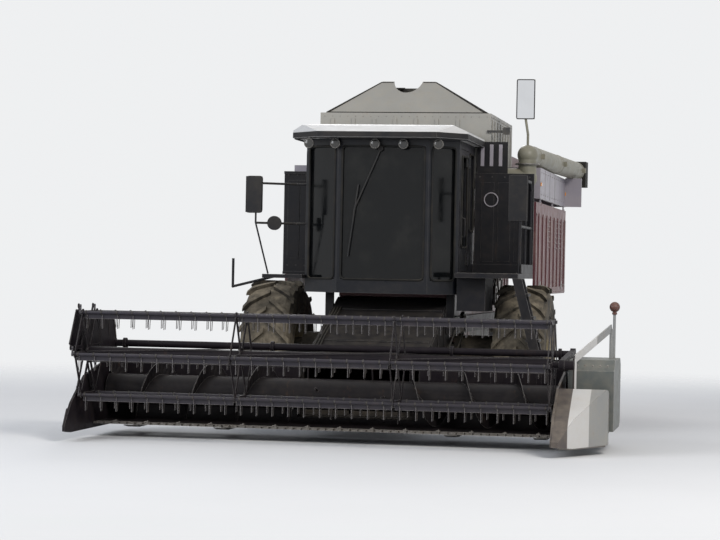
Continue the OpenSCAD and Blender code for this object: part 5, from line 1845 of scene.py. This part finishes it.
@dataclass
class Deck:
    """Tread pattern, kick plates, bulkheads and mirrors by the platform."""

    x: Spot = (0.74, 1.4)
    s: Spot = (-0.33, 1.08)
    z: float = 1.65
    studs: tuple[int, int] = (15, 32)  # number of the tread's studs along x and along s
    stud_pitches: Spot = (0.042, 0.043)  # distance between the studs along x and along s
    steps: int = 5
    step_bars: int = 9
    posts: tuple[float, ...] = (-0.3, 0.21, 0.72)
    wall_top: float = 2.75
    wall_s: Spot = (-0.372, -0.356)  # rear and front face of the right bulkhead
    wall_low: float = 1.60
    cab_right: float = -0.9
    ring: Spot = (0.93, 2.46)  # middle of the blank ring, as (x, z)
    ring_r: float = 0.075
    # (x, z, width, height) of the two mirrors.
    mirrors: tuple[tuple[float, float, float, float], ...] = (
        (1.385, 2.435, 0.19, 0.47), (-1.42, 2.44, 0.17, 0.38),
    )

    def tread(self) -> None:
        """Press the deck's tread pattern."""
        draft = Draft()
        x, s, (pitch_x, pitch_s) = self.x[0] + 0.03, self.s[0] + 0.03, self.stud_pitches
        for i in range(self.studs[0]):
            for k in range(self.studs[1]):
                p = at(x + i * pitch_x, s + k * pitch_s, self.z)
                turn = 1 if (i + k) % 2 else -1
                a, b = Vector((0.011, 0.011 * turn, 0)), Vector((0.003, -0.003 * turn, 0))
                draft.plate([p - a, p + b, p + a, p - b], Vector((0, 0, 0.0022)))
        draft.place("deck_tread", CHASSIS, Paints.steel)

    def kick_plates(self) -> None:
        """Edge the deck, lay the grip bars on the ladder's steps and bolt down the posts' feet."""
        draft = Draft()
        outer, z = self.x[1], self.z
        draft.block((outer - 0.008, outer), (self.s[0], 0.76), (z, z + 0.1))
        draft.block(self.x, (self.s[0], self.s[0] + 0.006), (z, z + 0.1))
        for i in range(self.steps):
            step = 0.48 + i * 0.235
            x = outer + 0.29 - (step - 0.45) * 0.245 - 0.075
            for n in range(self.step_bars):
                bar = x + n * 0.0155
                draft.block((bar, bar + 0.005), (0.845, 1.055), (step + 0.025, step + 0.030))
        for s in self.posts:
            draft.block((outer - 0.06, outer), (s - 0.03, s + 0.03), (z, z + 0.008))
            for shift in (-0.022, 0.022):
                draft.bolt(at(outer - 0.03 + shift, s + 0.022, z + 0.008), Axis.UP.vector, 0.005)
        draft.place("deck_kick_plates", CHASSIS, Paints.chassis, 0.001)

    def bulkheads(self) -> None:
        """Set up the right bulkhead, and rib and bolt both bulkheads."""
        draft = Draft()
        right, (back, front), top = (-1.405, self.cab_right - 0.012), self.wall_s, self.wall_top
        draft.block(right, (back, front), (self.wall_low, top))
        draft.block(right, (front, front + 0.02), (top - 0.03, top))
        draft.block(right, (front, front + 0.02), (self.wall_low, self.wall_low + 0.03))
        ahead = Axis.AHEAD.vector
        for x0, x1, face in (
            (right[0] + 0.05, right[1] - 0.05, front),
            (self.x[0] + 0.06, self.x[1] - 0.05, self.s[0]),
        ):
            for n in range(3):
                x = x0 + (x1 - x0) * (n + 0.5) / 3
                draft.plate([
                    at(x - 0.07, face, 1.78), at(x + 0.07, face, 1.78),
                    at(x + 0.07, face, top - 0.1), at(x - 0.07, face, top - 0.1),
                ], ahead * 0.007)
            for n in range(5):
                for z in (1.7, top - 0.04):
                    draft.bolt(at(x0 + (x1 - x0) * n / 4, face, z), ahead, 0.006)
        draft.place("side_bulkheads", CHASSIS, Paints.chassis, 0.003)

    def front_panels(self) -> None:
        """Hang the black panel of painted shadow on the tank's front, with its pale strips, and fit
        the blank ring.
        """
        dark, pale = Draft(), Draft()
        # A black panel that paints the unloading elbow's shadow on the tank's front.
        dark.block((0.76, 1.1), (-0.392, -0.374), (self.wall_top, 3.1))
        dark.place("tank_front_painted_shadow", CHASSIS, Paints.chassis, 0.003)
        for x in (0.80, 0.90, 1.0):
            pale.block((x, x + 0.04), (-0.374, -0.364), (2.83, 3.07))
        (x, z), r = self.ring, self.ring_r
        for start in (0.0, math.pi):
            angles = [start + math.pi * n / 12 for n in range(13)]
            half = [at(x + r * math.cos(a), self.s[0] + 0.012, z + r * math.sin(a)) for a in angles]
            pale.tube(half, 0.007, 8)
        pale.place("pale_front_panels", CHASSIS, Paints.lilac, 0.003)

    def mirror_glasses(self) -> None:
        """Fit the glasses and the edges of the two mirrors."""
        glass, edge = Draft(), Draft()
        for x, z, wide, high in self.mirrors:
            half, rise = wide / 2, high / 2
            across = (x - half + 0.008, x + half - 0.008)
            glass.block(across, (1.038, 1.0405), (z - rise + 0.008, z + rise - 0.008))
            ends = ((-half, -rise), (half, -rise), (half, rise), (-half, rise))
            corners = [at(x + a, 1.042, z + b) for a, b in ends]
            edge.tube(rounded(corners, 0.03), 0.007, 8, closed=True)
        glass.place("mirror_glass", CHASSIS, Paints.mirror)
        edge.place("mirror_frames", CHASSIS, Paints.trim)

    def build(self) -> None:
        """Build the platform's fittings."""
        self.tread()
        self.kick_plates()
        self.bulkheads()
        self.front_panels()
        self.mirror_glasses()


class Pulley(NamedTuple):
    """One pulley of the threshing body's drives."""

    s: float
    z: float
    radius: float


@dataclass
class Drives:
    """Pulleys and belts on both sides of the threshing body, behind the shields."""

    x: float = 0.61
    offset: float = 0.03
    belt_offset: float = 0.054
    belt_inset: float = 0.008  # how far a belt's middle lies inside a pulley's rim
    belt_radius: float = 0.012
    steps: int = 18  # pieces of a belt round one pulley
    left: tuple[Pulley, ...] = (
        Pulley(-0.75, 1.75, 0.21), Pulley(-1.55, 1.62, 0.15), Pulley(-2.45, 1.95, 0.26),
        Pulley(-3.35, 1.6, 0.2), Pulley(-2.95, 1.38, 0.12),
    )

    def right(self) -> tuple[Pulley, ...]:
        """List the right side's pulleys: further back, smaller, and without the second one."""
        kept = self.left[:1] + self.left[2:]
        return tuple(Pulley(s - 0.2, z + 0.08, r * 0.9) for s, z, r in kept)

    def pulley(self, draft: Draft, side: float, wheel: Pulley) -> None:
        """Add one pulley with its hub's bolts and the bearing behind it.

        Args:
            draft: the piece to add to.
            side: 1 on the left, -1 on the right.
            wheel: the pulley.
        """
        out, r = Axis.LEFT.vector * side, wheel.radius
        middle = at(side * (self.x + self.offset), wheel.s, wheel.z)
        draft.turned(middle, out, [
            (0, 0), (0.03, 0), (0.03, 0.02), (r - 0.03, 0.026), (r - 0.02, 0.0), (r, 0.0),
            (r - 0.016, 0.024), (r, 0.048), (r - 0.02, 0.048), (r - 0.03, 0.034), (0.034, 0.034),
            (0.034, 0.06), (0, 0.06),
        ], 36)
        draft.bolt_ring(middle + out * 0.034, out, 0.05, 4, 0.007, 0.6)
        bearing = [(0, 0), (0.055, 0), (0.055, 0.02), (0.025, 0.03), (0, 0.03)]
        draft.turned(at(side * self.x, wheel.s, wheel.z), out, bearing, 20)

    def belt(self, draft: Draft, side: float, first: Pulley, second: Pulley) -> None:
        """Run a belt round two pulleys.

        Args:
            draft: the piece to add to.
            side: 1 on the left, -1 on the right.
            first: one pulley.
            second: the other.
        """
        x = side * (self.x + self.belt_offset)
        run = math.hypot(second.s - first.s, second.z - first.z)
        lean = math.atan2(second.z - first.z, second.s - first.s)
        tilt = math.acos((first.radius - second.radius) / run)
        path = []
        for wheel, start, end in (
            (first, lean + tilt, lean + 2 * math.pi - tilt), (second, lean - tilt, lean + tilt),
        ):
            ring = wheel.radius - self.belt_inset
            for n in range(self.steps + 1):
                a = start + (end - start) * n / self.steps
                path.append(at(x, wheel.s + ring * math.cos(a), wheel.z + ring * math.sin(a)))
        draft.tube(path, self.belt_radius, 6, closed=True)

    def build(self) -> None:
        """Build the pulleys and belts of both sides."""
        for side, name, wheels in ((1.0, "left", self.left), (-1.0, "right", self.right())):
            metal, rubber = Draft(), Draft()
            for wheel in wheels:
                self.pulley(metal, side, wheel)
            for first, second in zip(wheels, wheels[1:]):
                self.belt(rubber, side, first, second)
            metal.place(f"drive_pulleys_{name}", CHASSIS, Paints.steel)
            rubber.place(f"drive_belts_{name}", CHASSIS, Paints.boot)


@dataclass
class Unloader:
    """Bands, flange, seam and mirror of the unloading tube."""

    x: float = 1.29
    s: float = -0.63
    z: float = 2.97
    radius: float = 0.112
    length: float = 3.77
    yaw: float = 3.2  # how far the tube turns outward from straight back, in degrees
    band_places: tuple[float, ...] = (0.3, 2.0, 3.6)
    flange_ring: float = 0.121  # radius of the bolts' circle on the flange
    mirror_z: Spot = (3.372, 3.806)  # lower and upper end of the mirror

    def bands(self) -> None:
        """Clamp the bands round the tube, and seam its underside."""
        draft = Draft()
        turn, up = math.radians(self.yaw), Axis.UP.vector
        run = Vector((math.sin(turn), math.cos(turn), 0.0))
        across = run.cross(up)
        start = at(self.x, self.s, self.z)
        inner, outer = self.radius - 0.002, self.radius + 0.004
        band = [(inner, 0), (outer, 0.002), (outer, 0.034), (inner, 0.036)]
        for d in self.band_places:
            draft.turned(start + run * d, run, band, 40)
            middle = start + run * (d + 0.018)
            draft.block_at(middle + across * (self.radius + 0.016), run, 0.018, 0.02, 0.03)
            draft.bolt(middle + across * (self.radius + 0.02) + up * 0.03, up, 0.007)
        below = up * (-self.radius - 0.001)
        draft.tube([start + run * 0.2 + below, start + run * (self.length - 0.1) + below], 0.004, 6)
        draft.place("tube_bands", "unloader", Paints.olive, 0.0015)

    def flange(self) -> None:
        """Bolt the tube's flange on the elbow."""
        draft = Draft()
        low, up = at(self.x, self.s, self.z - self.radius + 0.004), Axis.UP.vector
        draft.turned(low, up, [(0.1, 0), (0.135, 0.0), (0.135, 0.012), (0.1, 0.012)], 40)
        for a in turns(8):
            place = Vector((math.cos(a) * self.flange_ring, math.sin(a) * self.flange_ring, 0.012))
            draft.bolt(low + place, up, 0.008)
        draft.place("tube_flange", "unloader", Paints.steel, 0.001)

    def mirror(self) -> None:
        """Fit the glass and the edge of the mirror over the elbow."""
        glass, edge = Draft(), Draft()
        right, left, (low, high) = self.x - 0.128, self.x + 0.068, self.mirror_z
        glass.block(
            (right + 0.006, left - 0.006), (self.s + 0.020, self.s + 0.0225),
            (low + 0.006, high - 0.004),
        )
        glass.place("tube_mirror_glass", "unloader", Paints.mirror)
        s = self.s + 0.021
        corners = [at(right, s, low), at(left, s, low), at(left, s, high), at(right, s, high)]
        edge.tube(rounded(corners, 0.02), 0.006, 8, closed=True)
        edge.place("tube_mirror_frame", "unloader", Paints.trim)

    def build(self) -> None:
        """Build the tube's fittings."""
        self.bands()
        self.flange()
        self.mirror()


@dataclass
class Divider:
    """Knob, shoe and bolts of the left divider."""

    post: Spot = (2.5, 2.47)  # the knob post's place, as (x, s)
    knob_z: float = 1.35
    knob_r: float = 0.0505
    knob_steps: int = 12
    # Outline of the shoe, as (x, s).
    shoe: tuple[Spot, ...] = ((2.11, 3.35), (2.50, 3.35), (2.50, 3.42), (2.20, 3.92), (2.11, 3.92))
    bolts: int = 6  # number of bolts on each face

    def knob(self) -> None:
        """Turn the knob's painted skin and the collar under it."""
        draft = Draft()
        angles = (math.pi * n / self.knob_steps for n in range(self.knob_steps + 1))
        ball = [(self.knob_r * math.sin(a), -self.knob_r * math.cos(a)) for a in angles]
        collar = [(0.015, 0), (0.024, 0.004), (0.024, 0.02), (0.015, 0.03)]
        draft.turned(at(*self.post, self.knob_z), Axis.UP.vector, ball, 28)
        draft.turned(at(*self.post, self.knob_z - 0.075), Axis.UP.vector, collar, 20)
        draft.place("divider_knob", HEADER, Paints.knob)

    def sole(self) -> None:
        """Lay the steel shoe under the divider, and bolt its two faces."""
        draft = Draft()
        draft.plate([at(x, s, 0.070) for x, s in self.shoe], Vector((0, 0, 0.012)))
        for n in range(self.bolts):
            draft.bolt(at(2.52, 3.32, 0.2 + n * 0.06), Axis.LEFT.vector, 0.007)
        for n in range(self.bolts):
            draft.bolt(at(2.15 + n * 0.07, 3.25, 0.81), Axis.AHEAD.vector, 0.007)
        draft.place("divider_shoe", HEADER, Paints.steel, 0.002)

    def build(self) -> None:
        """Build the divider's fittings."""
        self.knob()
        self.sole()


@dataclass
class Tyres:
    """Rings pressed into the tyres' sidewalls."""

    front: Spot = (0.44, 0.52)
    rear: Spot = (0.30, 0.36)
    thick: float = 0.006  # radius of a ring's own section

    def face(self, wheel: Wheel, radius: float, side: float) -> Optional[float]:
        """Find how far out a tyre's sidewall lies at a radius.

        Args:
            wheel: the wheel.
            radius: the radius to look at.
            side: 1 to look at the left sidewall, -1 at the right one.

        Returns:
            The sidewall's place along x, or None where the tyre has none there.
        """
        node = frame["nodes"][f"tyre_{wheel.name}"]
        start = at(wheel.x + side * 0.6, wheel.s, wheel.z)
        start += Vector((0.0, radius * 0.6, radius * 0.8))
        hit, place, _, _ = node.ray_cast(start, Vector((-side, 0.0, 0.0)))
        return place.x if hit else None

    def build(self) -> None:
        """Build the rings of the four tyres."""
        for wheel in WHEELS:
            draft = Draft()
            for side in (1.0, -1.0):
                for radius in self.front if wheel.name.startswith("f") else self.rear:
                    place = self.face(wheel, radius, side)
                    if place is None:
                        continue
                    middle = at(place, wheel.s, wheel.z)
                    ring = [
                        middle + Vector((0.0, math.cos(a), math.sin(a))) * radius for a in turns(48)
                    ]
                    draft.tube(ring, self.thick, 6, closed=True)
            draft.place(f"tyre_rings_{wheel.name}", f"wheel_{wheel.name}", Paints.tyre)


# The frame's own nodes


def dress_nodes() -> None:
    """Give every node of the frame its slot's finish."""
    finishes = Paints.by_slot()
    for part in frame["record"]["subparts"]:
        node = frame["nodes"][part["node"]]
        material = Paints.own.get(part["node"], finishes[part["material_slot"]]).build()
        node.data.materials.clear()
        node.data.materials.append(material)
        LOG.info("%s dressed in %s", part["node"], material.name)


# Stage


class Lamp(NamedTuple):
    """One square area lamp."""

    name: str
    place: Point  # where it hangs, as (x, s, z)
    size: float
    power: float
    colour: Point


@dataclass
class Studio:
    """Floor, light and camera."""

    camera_place: Point = (4.0, 24.15, 1.66)
    aim: Point = (0.02, 2.6, 1.66)
    lens: float = 112.0
    sensor: float = 36.0
    roll: float = 1.1  # lean of the camera in degrees
    floor_reach: float = 60.0
    floor_tones: tuple[Point, Point] = ((0.74, 0.735, 0.725), (0.78, 0.775, 0.765))
    # Distances from the machine between which the floor turns into clear air.
    floor_fade: Spot = (6.5, 15.0)
    # Colour and strength of the light that the surroundings give.
    sky: tuple[Point, float] = ((0.82, 0.88, 1.0), 0.46)
    # Colour of the surroundings as the camera, glass and gloss show them.
    backdrop: Point = (0.86, 0.87, 0.88)
    lamp_aim: Point = (0.0, -0.5, 1.2)  # the point that the lamps face, as (x, s, z)
    lamps: tuple[Lamp, ...] = (
        Lamp("key", (9.0, 12.0, 11.0), 5.0, 1400.0, (1.0, 0.97, 0.93)),
        Lamp("fill", (-10.0, 12.0, 7.0), 7.0, 850.0, (0.92, 0.95, 1.0)),
        Lamp("back", (-4.0, -14.0, 10.0), 6.0, 780.0, (1.0, 1.0, 1.0)),
    )

    def link(self, name: str, data: bpy.types.ID) -> bpy.types.Object:
        """Put a camera, lamp or mesh into the scene as an object.

        Args:
            name: the object's name.
            data: what it shows.

        Returns:
            The new object.
        """
        made = bpy.data.objects.new(name, data)
        bpy.context.scene.collection.objects.link(made)
        return made

    def facing(self, place: Point, target: Point) -> Matrix:
        """Stand at one place of the machine and look at another.

        Args:
            place: where the eye stands, as (x, s, z).
            target: what it looks at, as (x, s, z).

        Returns:
            The place and turn of a camera or lamp.
        """
        eye = at(*place)
        look = (at(*target) - eye).to_track_quat("-Z", "Y")
        return Matrix.Translation(eye) @ look.to_matrix().to_4x4()

    def build_camera(self) -> None:
        """Set up the camera at the photograph's angle."""
        data = bpy.data.cameras.new("camera")
        data.lens = self.lens
        data.sensor_width = self.sensor
        camera = self.link("camera", data)
        lean = Matrix.Rotation(math.radians(self.roll), 4, "Z")
        camera.matrix_world = self.facing(self.camera_place, self.aim) @ lean
        bpy.context.scene.camera = camera

    def build_floor(self) -> None:
        """Lay a plain pale floor."""
        r = self.floor_reach
        mesh = bpy.data.meshes.new("floor")
        mesh.from_pydata([(-r, -r, 0), (r, -r, 0), (r, r, 0), (-r, r, 0)], [], [(0, 1, 2, 3)])
        graph = Graph("floor_pale")
        place = graph.node("ShaderNodeTexCoord").outputs["Object"]
        tone = graph.mix(*self.floor_tones, graph.noise(place, 0.7, 4.0, 0.5))
        graph.shade(tone, 0.85, graph.noise(place, 30.0, 3.0, 0.5), 0.0, 0.03, 0.0, 0.3)
        graph.fade(graph.ramp(graph.length(place), *self.floor_fade))
        mesh.materials.append(graph.material)
        self.link("floor", mesh)

    def build_surroundings(self) -> None:
        """Set the soft light from all sides, and the pale backdrop that camera and gloss show."""
        world = bpy.data.worlds.new("surroundings")
        world.use_nodes = True
        bpy.context.scene.world = world
        tree = world.node_tree
        tree.nodes.clear()
        paths = tree.nodes.new("ShaderNodeLightPath")
        mix = tree.nodes.new("ShaderNodeMixShader")
        for socket, (colour, strength) in ((1, self.sky), (2, (self.backdrop, 1.0))):
            shade = tree.nodes.new("ShaderNodeBackground")
            shade.inputs["Color"].default_value = (*colour, 1.0)
            shade.inputs["Strength"].default_value = strength
            tree.links.new(shade.outputs[0], mix.inputs[socket])
        shown = paths.outputs["Is Camera Ray"]
        for ray in ("Is Transmission Ray", "Is Glossy Ray"):
            either = tree.nodes.new("ShaderNodeMath")
            either.operation = "MAXIMUM"
            tree.links.new(shown, either.inputs[0])
            tree.links.new(paths.outputs[ray], either.inputs[1])
            shown = either.outputs[0]
        tree.links.new(shown, mix.inputs[0])
        out = tree.nodes.new("ShaderNodeOutputWorld")
        tree.links.new(mix.outputs[0], out.inputs["Surface"])

    def hang(self, lamp: Lamp) -> None:
        """Hang one lamp that faces the machine.

        Args:
            lamp: the lamp.
        """
        data = bpy.data.lights.new(lamp.name, "AREA")
        data.size = lamp.size
        data.energy = lamp.power
        data.color = lamp.colour
        self.link(lamp.name, data).matrix_world = self.facing(lamp.place, self.lamp_aim)

    def build(self) -> None:
        """Build the camera, the floor and the light."""
        self.build_camera()
        self.build_floor()
        self.build_surroundings()
        for lamp in self.lamps:
            self.hang(lamp)


def main() -> None:
    """Build the studio and dress the machine, sub-assembly by sub-assembly."""
    logging.basicConfig(level=logging.INFO, format="%(name)s: %(message)s")
    bpy.context.scene.view_settings.view_transform = "Standard"
    Studio().build()
    dress_nodes()
    assemblies = (
        *WHEELS, Cab(), HeaderTable(), Reel(), Flanks(), Tank(), EngineBay(), Tail(), Feeder(),
        Deck(), Drives(), Unloader(), Divider(), Tyres(),
    )
    for assembly in assemblies:
        LOG.info("building %s", type(assembly).__name__)
        assembly.build()


if __name__ == "__main__":
    main()
